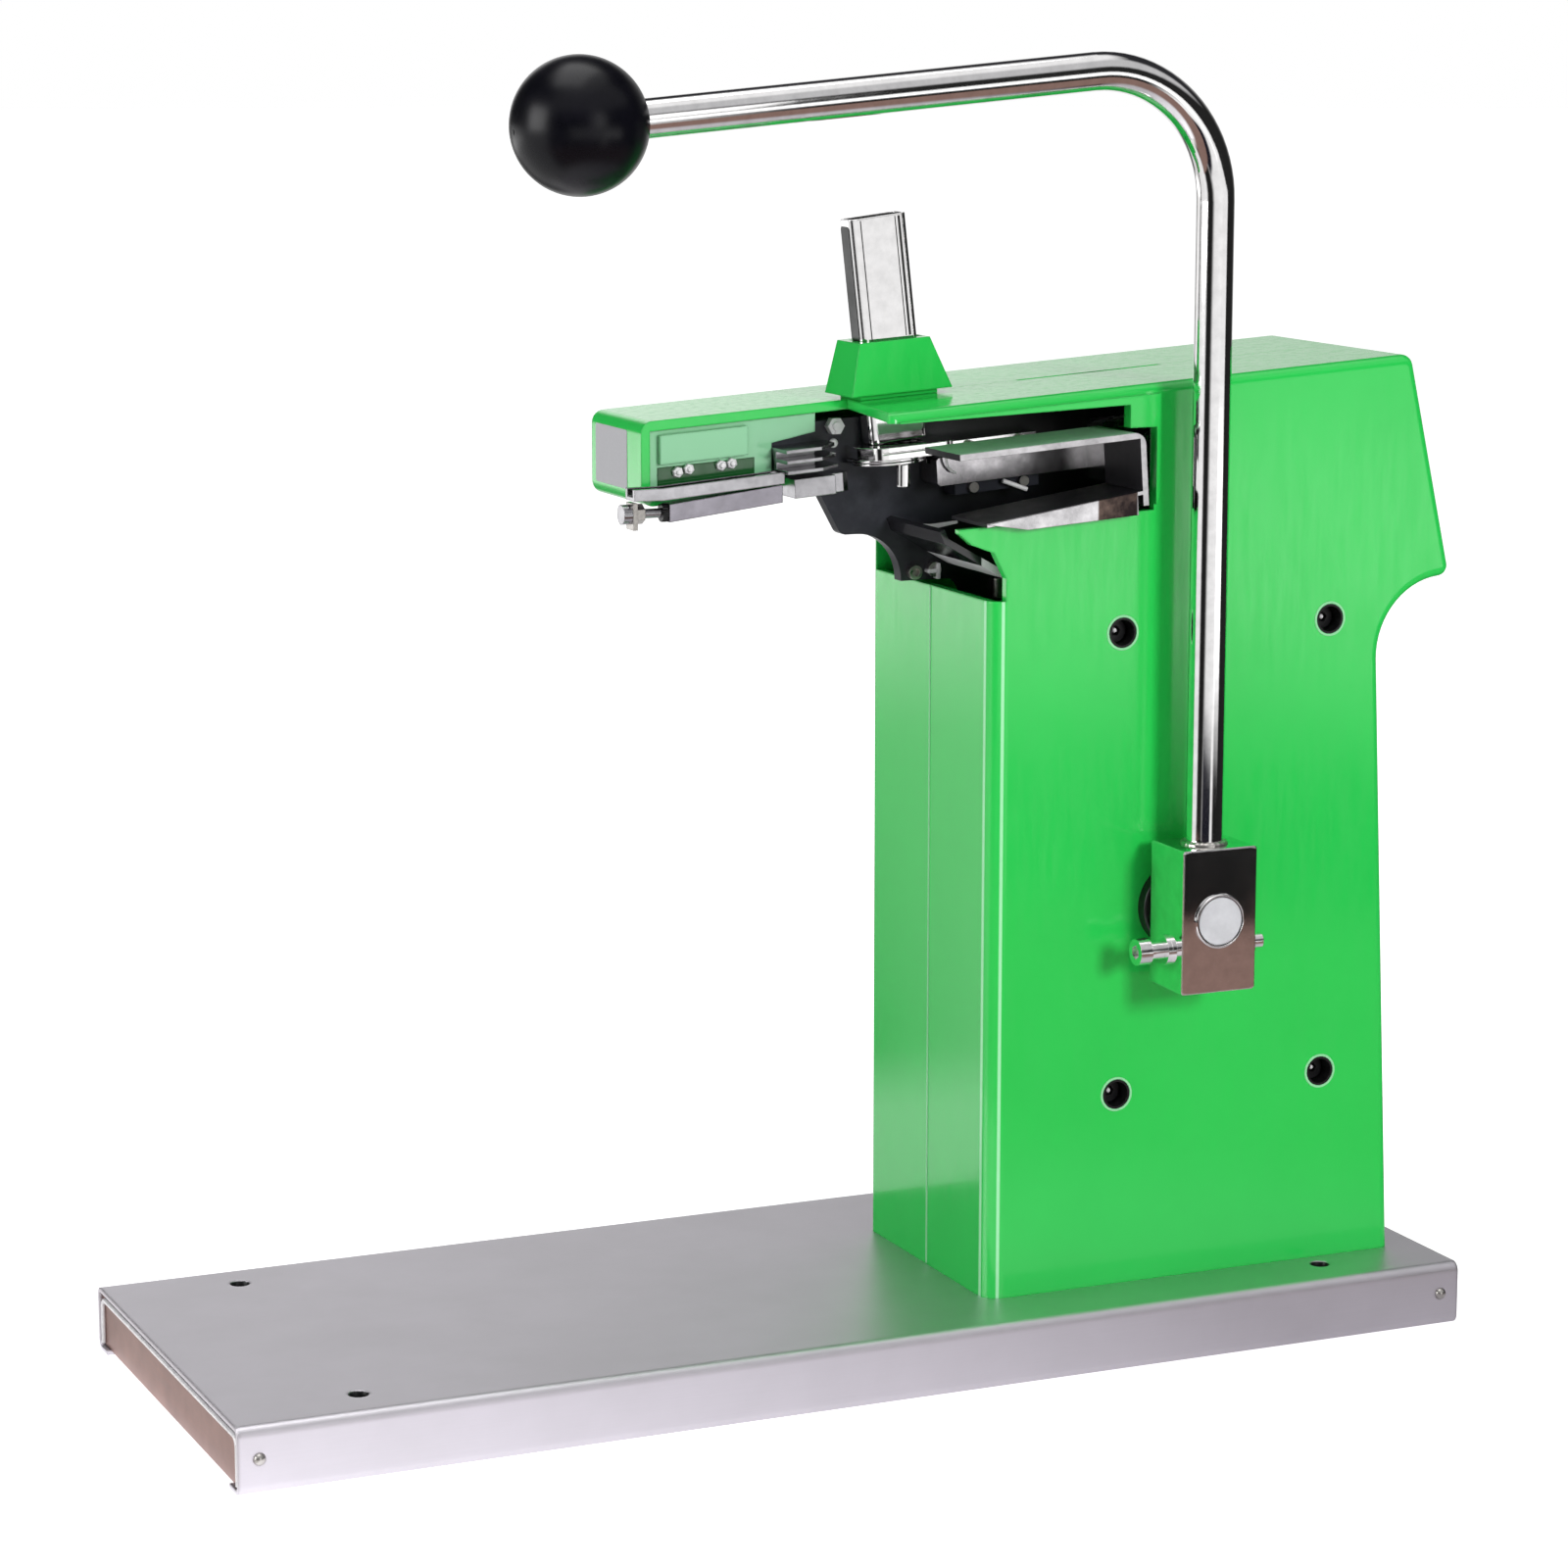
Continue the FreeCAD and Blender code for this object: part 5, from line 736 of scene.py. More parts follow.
class Workshop:
    """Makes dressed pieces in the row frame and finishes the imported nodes."""

    def __init__(self, frame: dict[str, Any], shelf: Shelf) -> None:
        """Keep the frame and the shelf.

        Args:
            shelf: The finishes.
        """
        self.nodes = frame["nodes"]
        self.shelf = shelf
        low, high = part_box("base_plate")
        self.middle = Vector(((low.x + high.x) / 2, (low.y + high.y) / 2, 0.0))

    def at(self, x: float, y: float, z: float) -> Vector:
        """A point given in millimetres from the base's middle, in metres."""
        return self.middle + Vector((x, y, z)) * MM

    def dress(self, finish: Finish, *names: str) -> None:
        """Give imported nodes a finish.

        Args:
            finish: The finish.
            *names: The nodes.
        """
        for name in names:
            mesh = self.nodes[name].data
            mesh.materials.clear()
            mesh.materials.append(self.shelf.take(finish))
            LOG.info("%s: %s", name, finish.name)

    def piece(self, name: str, form: Form, finish: Finish, body: Body, slot: Slot,
              shading: Shading = Shading.EDGED) -> bpy.types.Object:
        """Turn a built form into a piece that rides on a body.

        Args:
            name: The piece's name.
            form: Its faces, in metres in the row frame; it is freed.
            finish: Its finish.
            body: The body it rides on.
            slot: Not used.
            shading: Which of its edges look smooth.

        Returns:
            The new object.
        """
        bmesh.ops.recalc_face_normals(form, faces=form.faces)
        for face in form.faces:
            face.smooth = True
        for edge in form.edges:
            edge.smooth = edge.calc_face_angle(0.0) < math.radians(shading.value)
        mesh = bpy.data.meshes.new(name)
        form.to_mesh(mesh)
        form.free()
        mesh.materials.append(self.shelf.take(finish))
        thing = bpy.data.objects.new(name, mesh)
        bpy.context.scene.collection.objects.link(thing)
        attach(thing, body.value)
        LOG.info("%s: %d faces on %s", name, len(mesh.polygons), body.value)
        return thing

    @staticmethod
    def slab(corners: Sequence[Vector], depth: Vector) -> Form:
        """A flat outline drawn out along a vector.

        Args:
            corners: The outline in order.
            depth: From the outline to its copy.

        Returns:
            The closed form.
        """
        form = bmesh.new()
        near = [form.verts.new(c) for c in corners]
        far = [form.verts.new(c + depth) for c in corners]
        form.faces.new(near)
        form.faces.new(list(reversed(far)))
        for i in range(len(near)):
            j = (i + 1) % len(near)
            form.faces.new((near[i], far[i], far[j], near[j]))
        return form

    @staticmethod
    def tube(path: Sequence[Vector], radius: float | Callable[[float], float], sides: int = 16,
             closed: bool = False) -> Form:
        """A round section carried along a path.

        Args:
            path: Points in order.
            radius: Section radius in metres, or a function of the share of the path.
            sides: Corners of the section.
            closed: True where the path meets its own start.

        Returns:
            The closed form.
        """
        form = bmesh.new()
        count = len(path)
        rings = []
        side = None
        for i, point in enumerate(path):
            before = path[(i - 1) % count] if closed or i else path[i]
            after = path[(i + 1) % count] if closed or i < count - 1 else path[i]
            along = (after - before).normalized()
            if side is None:
                side = along.orthogonal().normalized()
            side = (side - along * side.dot(along)).normalized()
            up = along.cross(side)
            size = radius(i / max(1, count - 1)) if callable(radius) else radius
            spots = [point + (side * math.cos(t) + up * math.sin(t)) * size for t in around(sides)]
            rings.append([form.verts.new(spot) for spot in spots])
        for first, second in list(zip(rings, rings[1:])) + ([(rings[-1], rings[0])] if closed else []):
            bridge(form, first, second)
        if not closed:
            form.faces.new(list(reversed(rings[0])))
            form.faces.new(rings[-1])
        return form

    @staticmethod
    def turned(origin: Vector, axis: Vector, profile: Sequence[Pair], sides: int = 40,
               loop: bool = False) -> Form:
        """A profile turned about an axis.

        Args:
            origin: Where the profile's heights start, in metres.
            axis: Unit vector along which they rise.
            profile: Radius and height of each point, in millimetres.
            sides: Steps of the turn.
            loop: True where the profile closes on itself, as a ring's does.

        Returns:
            The closed form.
        """
        form = bmesh.new()
        side = axis.orthogonal().normalized()
        up = axis.cross(side)
        rings = []
        for radius, height in profile:
            middle = origin + axis * height * MM
            if radius == 0:
                rings.append([form.verts.new(middle)] * sides)
                continue
            spots = [middle + (side * math.cos(t) + up * math.sin(t)) * radius * MM for t in around(sides)]
            rings.append([form.verts.new(spot) for spot in spots])
        for first, second in list(zip(rings, rings[1:])) + ([(rings[-1], rings[0])] if loop else []):
            bridge(form, first, second)
        return form

    @staticmethod
    def joined(forms: Sequence[Form]) -> Form:
        """Several forms as one.

        Args:
            forms: The forms; they are freed.

        Returns:
            The joined form.
        """
        whole = bmesh.new()
        for form in forms:
            part = bpy.data.meshes.new("part")
            form.to_mesh(part)
            form.free()
            whole.from_mesh(part)
            bpy.data.meshes.remove(part)
        return whole

    @staticmethod
    def framed(outer: Sequence[Vector], inner: Sequence[Vector], depth: Vector) -> Form:
        """A flat plate with a hole, drawn out along a vector.

        Args:
            outer: Its outline.
            inner: The hole, with as many corners.
            depth: From the plate's one face to the other.

        Returns:
            The closed form.
        """
        form = bmesh.new()
        rings = [[form.verts.new(point + step) for point in line]
                 for step in (Vector(), depth) for line in (outer, inner)]
        order = (rings[0], rings[1], rings[3], rings[2])
        for first, second in zip(order, order[1:] + order[:1]):
            bridge(form, first, second)
        return form

    def corners_of(self, node: str) -> tuple[Vector, Vector]:
        """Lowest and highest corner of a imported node, in millimetres from the base's middle."""
        low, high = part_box(node)
        return (low - self.middle) / MM, (high - self.middle) / MM

    @staticmethod
    def ring_path(centre: Vector, first: Vector, second: Vector, count: int) -> list[Vector]:
        """Points of an ellipse given by its centre and two half axes."""
        return [centre + first * math.cos(t) + second * math.sin(t) for t in around(count)]

    @staticmethod
    def rounded(low: Pair, high: Pair, radius: float,
                steps: int = 5) -> list[Pair]:
        """Corners of a rectangle with round corners, in order.

        Args:
            low: Lowest corner.
            high: Highest corner.
            radius: Corner radius.
            steps: Steps of each corner.

        Returns:
            The corners.
        """
        spots = ((high[0] - radius, high[1] - radius, 0), (low[0] + radius, high[1] - radius, 90),
                 (low[0] + radius, low[1] + radius, 180), (high[0] - radius, low[1] + radius, 270))
        out = []
        for u, v, start in spots:
            for k in range(steps + 1):
                turn = math.radians(start + 90 * k / steps)
                out.append((u + radius * math.cos(turn), v + radius * math.sin(turn)))
        return out


# ------------------------------------------------------------------ sub-assemblies


@dataclass
class Base:
    """Folded base with its end caps, rivets and bench holes."""

    shop: Workshop
    hole_spots: Pair = (167.0, 61.5)
    hole_radius: float = 3.28
    sleeve_wall: float = 0.4
    sleeve_depth: float = 7.0
    sleeve_lip: Pair = (0.1, 0.2)
    sleeve_sunk: float = 0.2
    top_z: float = 21.0
    cap_x: float = 208.8
    rim_y: float = 75.3
    rim_low_z: float = 2.4
    rim_high_z: float = 17.3
    rim_radius: float = 0.85
    rim_corner: float = 3.0
    rim_proud: float = 0.3
    rim_straight: float = 2.0
    rim_steps: int = 8
    gap_shade_z: Pair = (18.1, 19.3)
    gap_shade_corner: float = 0.4
    gap_shade_thick: float = 0.15

    def build(self) -> None:
        """Dress the base, its caps and its bench holes."""
        self.shop.dress(BASE_SHEET, "base_plate")
        self.shop.dress(CAP_SHEET, "left_end_cap", "right_end_cap")
        self.shop.dress(ZINC, "side_rivets", "foot_bolts")
        self.sleeves()
        for side, label in ((-1, "left"), (1, "right")):
            self.cap_rim(side, label)
            self.cap_gap_shade(side, label)

    def sleeves(self) -> None:
        """Black sleeves in the bench holes: painted shade where the holes look through to the dark under the
        base.
        """
        inner = self.hole_radius - self.sleeve_wall
        wide, deep = self.sleeve_lip
        profile = [(self.hole_radius, 0.0), (self.hole_radius, self.sleeve_depth),
                   (inner + wide, self.sleeve_depth), (inner, self.sleeve_depth - deep), (inner, 0.0)]
        foot = self.top_z - self.sleeve_sunk - self.sleeve_depth
        x, y = self.hole_spots
        feet = [self.shop.at(u, v, foot) for u in (-x, x) for v in (-y, y)]
        forms = [self.shop.turned(spot, UPWARD, profile, 32, True) for spot in feet]
        self.shop.piece("bench_hole_shade_sleeves", self.shop.joined(forms), BLACK_OXIDE_AND_SHADE, Body.FRAME, Slot.BLACK)

    def cap_rim(self, side: int, label: str) -> None:
        """Bright rolled rim round an end cap's face; its near-white finish is a painted highlight.

        Args:
            side: -1 on the left, 1 on the right.
            label: How the piece's name starts.
        """
        x = side * (self.cap_x + self.rim_proud)
        inner_y, inner_z = self.rim_y - self.rim_corner, self.rim_high_z - self.rim_corner
        low, high = self.rim_low_z, self.rim_low_z + self.rim_straight
        line = [(-self.rim_y, low), (-self.rim_y, high)]
        for sign, start in ((-1, 180), (1, 90)):
            for k in range(self.rim_steps + 1):
                turn = math.radians(start - 90 * k / self.rim_steps)
                line.append((sign * inner_y + self.rim_corner * math.cos(turn),
                             inner_z + self.rim_corner * math.sin(turn)))
        line += [(self.rim_y, high), (self.rim_y, low)]
        form = self.shop.tube([self.shop.at(x, y, z) for y, z in line], self.rim_radius * MM, 14)
        self.shop.piece(f"{label}_cap_rim", form, PALE_PLATE_AND_HIGHLIGHT, Body.FRAME, Slot.BASE, Shading.ROUND)

    def cap_gap_shade(self, side: int, label: str) -> None:
        """Black strip between an end cap and the top sheet: painted shadow of the gap there.

        Args:
            side: -1 on the left, 1 on the right.
            label: How the piece's name starts.
        """
        low, high = (-self.rim_y, self.gap_shade_z[0]), (self.rim_y, self.gap_shade_z[1])
        line = self.shop.rounded(low, high, self.gap_shade_corner)
        corners = [self.shop.at(side * self.cap_x, y, z) for y, z in line]
        form = self.shop.slab(corners, Vector((side * self.gap_shade_thick * MM, 0, 0)))
        self.shop.piece(f"{label}_cap_gap_shade", form, BLACK_PAINT_AND_SHADE, Body.FRAME, Slot.BLACK)


@dataclass
class Housing:
    """Both halves of the green housing, the seam between them and the recesses of its screws."""

    shop: Workshop
    face_y: float = -53.5
    recess_radius: float = 4.4
    shade_liner_clear: float = 0.02
    shade_liner_wall: float = 0.25
    recess_depth: float = 8.9
    flange_radius: float = 4.85
    flange_proud: float = 0.2
    bead_radius: float = 0.45
    glint_depth: float = 5.0
    # profile of the pale dome set in each socket: a painted highlight standing in for the socket's glint
    pin: Pairs = ((0, 0), (0.6, 0.15), (0.75, 0.5), (0.75, 3.5), (0, 3.5))
    seam: Points = ((47.75, -9.0, 21.5), (47.75, -9.0, 134.0),
                                                    (47.75, -9.0, 247.5))
    seam_radius: float = 0.42
    screw_spots: Pairs = ((94.0, 84.8), (94.0, 235.8), (170.0, 84.8), (170.0, 235.8))

    def build(self) -> None:
        """Dress the housing and its screw recesses."""
        self.shop.dress(GREEN, "near_shell", "far_shell")
        self.shop.dress(BLACK_OXIDE_AND_SHADE, "shell_screws")
        inward = Vector((0, 1, 0))
        # painted shade: black liners darken the screw recesses
        outer, inner = self.recess_radius - self.shade_liner_clear, self.recess_radius - self.shade_liner_wall
        deep, proud = self.recess_depth, self.flange_proud
        shade_liner = [(outer, 0.0), (outer, deep), (inner, deep), (inner, -proud), (self.flange_radius, -proud),
                 (self.flange_radius, 0.0)]
        # painted highlight: pale green beads round the recess mouths
        reach = (self.flange_radius + self.bead_radius) * MM
        shade_liners, beads, glints = [], [], []
        for x, z in self.screw_spots:
            mouth = self.shop.at(x, self.face_y, z)
            shade_liners.append(self.shop.turned(mouth, inward, shade_liner, 40, True))
            path = self.shop.ring_path(mouth, Vector((reach, 0, 0)), Vector((0, 0, reach)), 48)
            beads.append(self.shop.tube(path, self.bead_radius * MM, 12, True))
            # painted highlight: a pale dome in each socket stands in for its glint
            glints.append(self.shop.turned(mouth + inward * self.glint_depth * MM, inward, self.pin, 16))
        self.shop.piece("recess_shade_liners", self.shop.joined(shade_liners), BLACK_OXIDE_AND_SHADE, Body.FRAME, Slot.BLACK)
        beads = self.shop.joined(beads)
        self.shop.piece("recess_beads", beads, HIGHLIGHT_GREEN, Body.FRAME, Slot.HOUSING, Shading.ROUND)
        glints = self.shop.joined(glints)
        self.shop.piece("recess_glints", glints, PALE_PLATE_AND_HIGHLIGHT, Body.FRAME, Slot.ZINC, Shading.ROUND)
        # painted highlight: a pale green bead along the seam
        form = self.shop.tube([self.shop.at(*point) for point in self.seam], self.seam_radius * MM, 12)
        self.shop.piece("seam_bead", form, HIGHLIGHT_GREEN, Body.FRAME, Slot.HOUSING, Shading.ROUND)


@dataclass
class Gear:
    """Frame plate and what is carried by it inside the housing."""

    shop: Workshop

    def build(self) -> None:
        """Dress the frame and the gear."""
        self.shop.dress(FRAME_PAINT_AND_SHADE, "frame_plate")
        self.shop.dress(BLACK_PAINT_AND_SHADE, "near_foot", "far_foot")
        self.shop.dress(PLAIN, "bell_crank_stud", "spring_anchor", "link", "bell_crank", "link_pin",
                        "drive_pin", "slide_block", "crank_arm", "crank_pin")
        self.shop.dress(RUBBER, "crank_stop")
        self.shop.dress(BRONZE, "frame_bush", "far_bush")
        self.shop.dress(BLACK_OXIDE_AND_SHADE, "near_bush")
        self.shop.dress(SPRING, "return_spring")


@dataclass
class Lever:
    """Lever: rod, knob, clamp block and pivot shaft."""

    shop: Workshop
    axis_x: float = 115.0
    plane_y: float = -71.0
    shaft_z: float = 146.0
    block_top: float = 169.25
    rod_radius: float = 6.0
    bead_radius: float = 1.1
    bead_off: float = 0.35
    ripples: int = 22
    ripple_share: float = 0.16
    face_thick: float = 0.35
    face_inset: float = 0.15
    face_hole: float = 8.0
    face_corners: int = 96
    collar_bore: float = 7.52
    collar_radius: float = 8.8
    collar_lip: float = 0.55
    collar_foot: float = 0.4
    collar_chamfer: float = 0.3
    groove_chamfer: Pair = (0.1, 0.2)
    disc_radius: float = 7.7
    disc_gap: float = 0.35
    disc_chamfer: float = 0.3
    disc_heights: Point = (0.1, 0.35, 0.4)

    def build(self) -> None:
        """Dress the lever, lay its weld bead and finish the block's face and the shaft's end."""
        centre = self.shop.at(self.axis_x, 0, self.shaft_z)
        self.shop.dress(CHROME, "lever_rod", "clamp_block", "pivot_shaft")
        self.shop.dress(KNOB, "knob")
        self.shop.dress(BRIGHT_STRIP, "pinch_bolt", "pinch_washer", "pinch_nut")
        self.shop.dress(ZINC, "thrust_washer")
        self.weld_bead()
        self.block_face()
        self.shaft_end(TurnedEnd("turned_shaft", axis_x=centre.x, axis_z=centre.z))

    def block_face(self) -> None:
        """Chromed facing on the block's near side, round the shaft."""
        low, high = self.shop.corners_of("clamp_block")
        wide, tall = (high.x - low.x) / 2 - self.face_inset, (high.z - low.z) / 2 - self.face_inset
        outer, inner = [], []
        for turn in around(self.face_corners):
            u, v = math.cos(turn), math.sin(turn)
            reach = min(wide / max(abs(u), TINY), tall / max(abs(v), TINY))
            for line, radius in ((outer, reach), (inner, self.face_hole)):
                line.append(self.shop.at(self.axis_x + u * radius, low.y, self.shaft_z + v * radius))
        form = self.shop.framed(outer, inner, Vector((0, -self.face_thick * MM, 0)))
        self.shop.piece("block_facing", form, CHROME, Body.LEVER, Slot.CHROME)

    def shaft_end(self, finish: Finish) -> None:
        """Bright collar and turned disc on the shaft's near end.

        Args:
            finish: The disc's finish.
        """
        face, tip = self.shop.corners_of("clamp_block")[0].y, self.shop.corners_of("pivot_shaft")[0].y
        proud = face - tip
        groove = self.disc_radius + self.disc_gap
        lip, foot = proud + self.collar_lip, proud - self.collar_foot
        wide, deep = self.groove_chamfer
        radius, chamfer = self.collar_radius, self.collar_chamfer
        collar = [(self.collar_bore, 0.0), (radius, 0.0), (radius, lip - chamfer), (radius - chamfer, lip),
                  (groove + wide, lip), (groove, lip - deep), (groove, foot), (self.collar_bore, foot)]
        form = self.shop.turned(self.shop.at(self.axis_x, face, self.shaft_z), NEARWARD, collar, 64, True)
        self.shop.piece("shaft_collar", form, CHROME, Body.LEVER, Slot.CHROME)
        edge, shoulder, top = self.disc_heights
        disc = [(0, 0), (self.disc_radius, 0), (self.disc_radius, edge),
                (self.disc_radius - self.disc_chamfer, shoulder), (0, top)]
        form = self.shop.turned(self.shop.at(self.axis_x, tip, self.shaft_z), NEARWARD, disc, 64)
        self.shop.piece("shaft_end_disc", form, finish, Body.LEVER, Slot.PLAIN)

    def weld_bead(self) -> None:
        """Ripple of weld where the rod enters the block."""
        centre = self.shop.at(self.axis_x, self.plane_y, self.block_top)
        reach = (self.rod_radius + self.bead_off) * MM
        path = self.shop.ring_path(centre, Vector((reach, 0, 0)), Vector((0, reach, 0)), 96)
        form = self.shop.tube(path, self.ripple, 12, True)
        self.shop.piece("rod_weld_bead", form, ZINC, Body.LEVER, Slot.CHROME, Shading.WELDED)

    def ripple(self, share: float) -> float:
        """The weld bead's radius in metres at a share of its round."""
        return self.bead_radius * MM * (1 + self.ripple_share * abs(math.sin(math.pi * self.ripples * share)))


@dataclass
class Throat:
    """Rails, nose, jaws, anvil and their fasteners, with what small fittings the frame plate carries."""

    shop: Workshop
    plate_y: float = -4.4
    strip: Pairs = (
        (36.6, 269.6), (43.0, 267.6), (49.5, 267.2), (59.0, 267.9),
        (59.0, 267.0), (49.5, 265.5), (43.0, 265.9), (36.6, 267.8))
    strip_thick: float = 0.9
    post: Point = (73.4, 242.0, 248.7)
    post_radius: float = 1.75
    post_chamfer: float = 0.3
    button: Pair = (15.1, 294.8)
    button_profile: Pairs = ((0, 0), (1.5, 0), (1.5, 0.5), (1.1, 0.9), (0, 1.0))
    key: tuple[tuple[float, float, float, float], ...] = (
        (50.8, 249.5, 52.1, 254.7), (47.7, 251.6, 51.0, 252.9))
    key_corner: float = 0.4
    key_thick: float = 2.7

    def build(self) -> None:
        """Dress the throat and add its small fittings."""
        self.shop.dress(CHROME, "nose_plate", "throat_rings", "throat_pin")
        self.shop.dress(GUIDE_STRIP, "throat_guide")
        self.shop.dress(RAIL_STRIP, "jaw_plates", "anvil")
        self.shop.dress(BRIGHT_STRIP, "upper_rail")
        self.shop.dress(PALE_PLATE_AND_HIGHLIGHT, "throat_nut")
        self.shop.dress(BLACK_PAINT_AND_SHADE, "lower_rail")
        self.shop.dress(ZINC, "rail_screws", "frame_screws")
        self.fittings()

    def fittings(self) -> None:
        """Strip, post, button and key on the frame plate's near face."""
        corners = [self.shop.at(x, self.plate_y, z) for x, z in self.strip]
        form = self.shop.slab(corners, NEARWARD * self.strip_thick * MM)
        self.shop.piece("frame_strip", form, PALE_PLATE_AND_HIGHLIGHT, Body.FRAME, Slot.CHROME)
        x, low, high = self.post
        radius, chamfer, tall = self.post_radius, self.post_chamfer, high - low
        profile = [(0, 0), (radius - chamfer, 0), (radius, chamfer), (radius, tall - chamfer),
                   (radius - chamfer, tall), (0, tall)]
        form = self.shop.turned(self.shop.at(x, self.plate_y - radius, low), UPWARD, profile, 24)
        self.shop.piece("frame_post", form, ZINC, Body.FRAME, Slot.ZINC)
        spot = self.shop.at(self.button[0], self.plate_y, self.button[1])
        form = self.shop.turned(spot, NEARWARD, self.button_profile, 24)
        self.shop.piece("frame_button", form, PALE_PLATE_AND_HIGHLIGHT, Body.FRAME, Slot.ZINC)
        bars = []
        for x_low, z_low, x_high, z_high in self.key:
            line = self.shop.rounded((x_low, z_low), (x_high, z_high), self.key_corner)
            corners = [self.shop.at(u, self.plate_y, v) for u, v in line]
            bars.append(self.shop.slab(corners, NEARWARD * self.key_thick * MM))
        self.shop.piece("frame_key", self.shop.joined(bars), PALE_PLATE_AND_HIGHLIGHT, Body.FRAME, Slot.ZINC)


@dataclass
class Carriage:
    """Sliding carriage with the punch bar, the wire finger that leans on the bar and the rail's pin."""

    shop: Workshop
    finger: Points = (
        (42.2, -14.9, 290.9), (43.4, -15.8, 291.9), (44.8, -16.6, 293.2), (46.2, -17.2, 294.0),
        (47.3, -17.7, 293.9), (47.7, -18.2, 292.6), (47.9, -18.8, 290.6), (48.3, -18.9, 288.6),
        (49.0, -18.7, 286.9), (50.2, -18.3, 285.6), (52.1, -17.7, 284.9))
    finger_radius: float = 0.45
    pin: Points = ((70.2, -14.8, 281.4), (79.2, -14.8, 278.1))
    pin_radius: float = 0.75
    pin_crown: float = 0.2

    def build(self) -> None:
        """Dress the carriage and add the finger and the pin."""
        self.shop.dress(CARRIAGE_SHEET, "carriage")
        self.shop.dress(BAR_STRIP, "punch_bar")
        self.shop.dress(BRIGHT_STRIP, "carriage_bracket")
        path = [self.shop.at(*point) for point in self.finger]
        form = self.shop.tube(path, self.finger_radius * MM, 12)
        self.shop.piece("guide_finger", form, PALE_PLATE_AND_HIGHLIGHT, Body.FRAME, Slot.CHROME, Shading.ROUND)
        start, end = (self.shop.at(*point) for point in self.pin)
        along = end - start
        length, radius, crown = along.length / MM, self.pin_radius, self.pin_crown
        profile = [(0, 0), (radius, crown), (radius, length - crown), (0, length)]
        form = self.shop.turned(start, along.normalized(), profile, 16)
        self.shop.piece("rail_pin", form, PALE_PLATE_AND_HIGHLIGHT, Body.FRAME, Slot.CHROME)


@dataclass
class Magazine:
    """Clip magazine: chromed tube with its folds, green holder and follower."""

    shop: Workshop
    foot: Point = (33.0, -9.0, 309.95)
    tilt: float = 6.5
    half_wide: float = 10.0
    half_deep: float = 4.5
    low: float = 18.5
    high: float = 56.4
    folds: Pairs = ((-6.4, 0.35), (5.6, 0.3), (6.9, 0.8))
    slot_half: float = 3.0
    slot_corner: float = 1.2
    slot_drop: float = 1.5
    proud: float = 0.06

    def build(self) -> None:
        """Dress the magazine and draw the folds and the sight slot of its tube."""
        self.shop.dress(CHROME, "magazine_tube")
        self.shop.dress(GREEN, "magazine_holder")
        self.shop.dress(PLAIN, "clip_follower")
        forms = []
        for x, wide in self.folds:
            left, right = x - wide / 2, x + wide / 2
            spots = ((left, self.low), (right, self.low), (right, self.high), (left, self.high))
            corners = [self.on_tube(u, -self.half_deep, v) for u, v in spots]
            forms.append(self.shop.slab(corners, Vector((0, -self.proud * MM, 0))))
        top = self.high - self.slot_drop
        line = self.shop.rounded((-self.slot_half, self.low), (self.slot_half, top), self.slot_corner)
        corners = [self.on_tube(-self.half_wide, v, w) for v, w in line]
        out = self.on_tube(-self.half_wide - self.proud, 0, 0) - self.on_tube(-self.half_wide, 0, 0)
        forms.append(self.shop.slab(corners, out))
        self.shop.piece("magazine_folds", self.shop.joined(forms), BLACK_OXIDE_AND_SHADE, Body.FRAME, Slot.BLACK)

    def on_tube(self, x: float, y: float, z: float) -> Vector:
        """A point on the leaning tube.

        Args:
            x: Millimetres across the tube's near side, from its middle.
            y: Millimetres behind its middle.
            z: Millimetres up along it, from its foot.

        Returns:
            The point in metres in the row frame.
        """
        lean = math.radians(self.tilt)
        u = self.foot[0] + x * math.cos(lean) - z * math.sin(lean)
        w = self.foot[2] + x * math.sin(lean) + z * math.cos(lean)
        return self.shop.at(u, self.foot[1] + y, w)


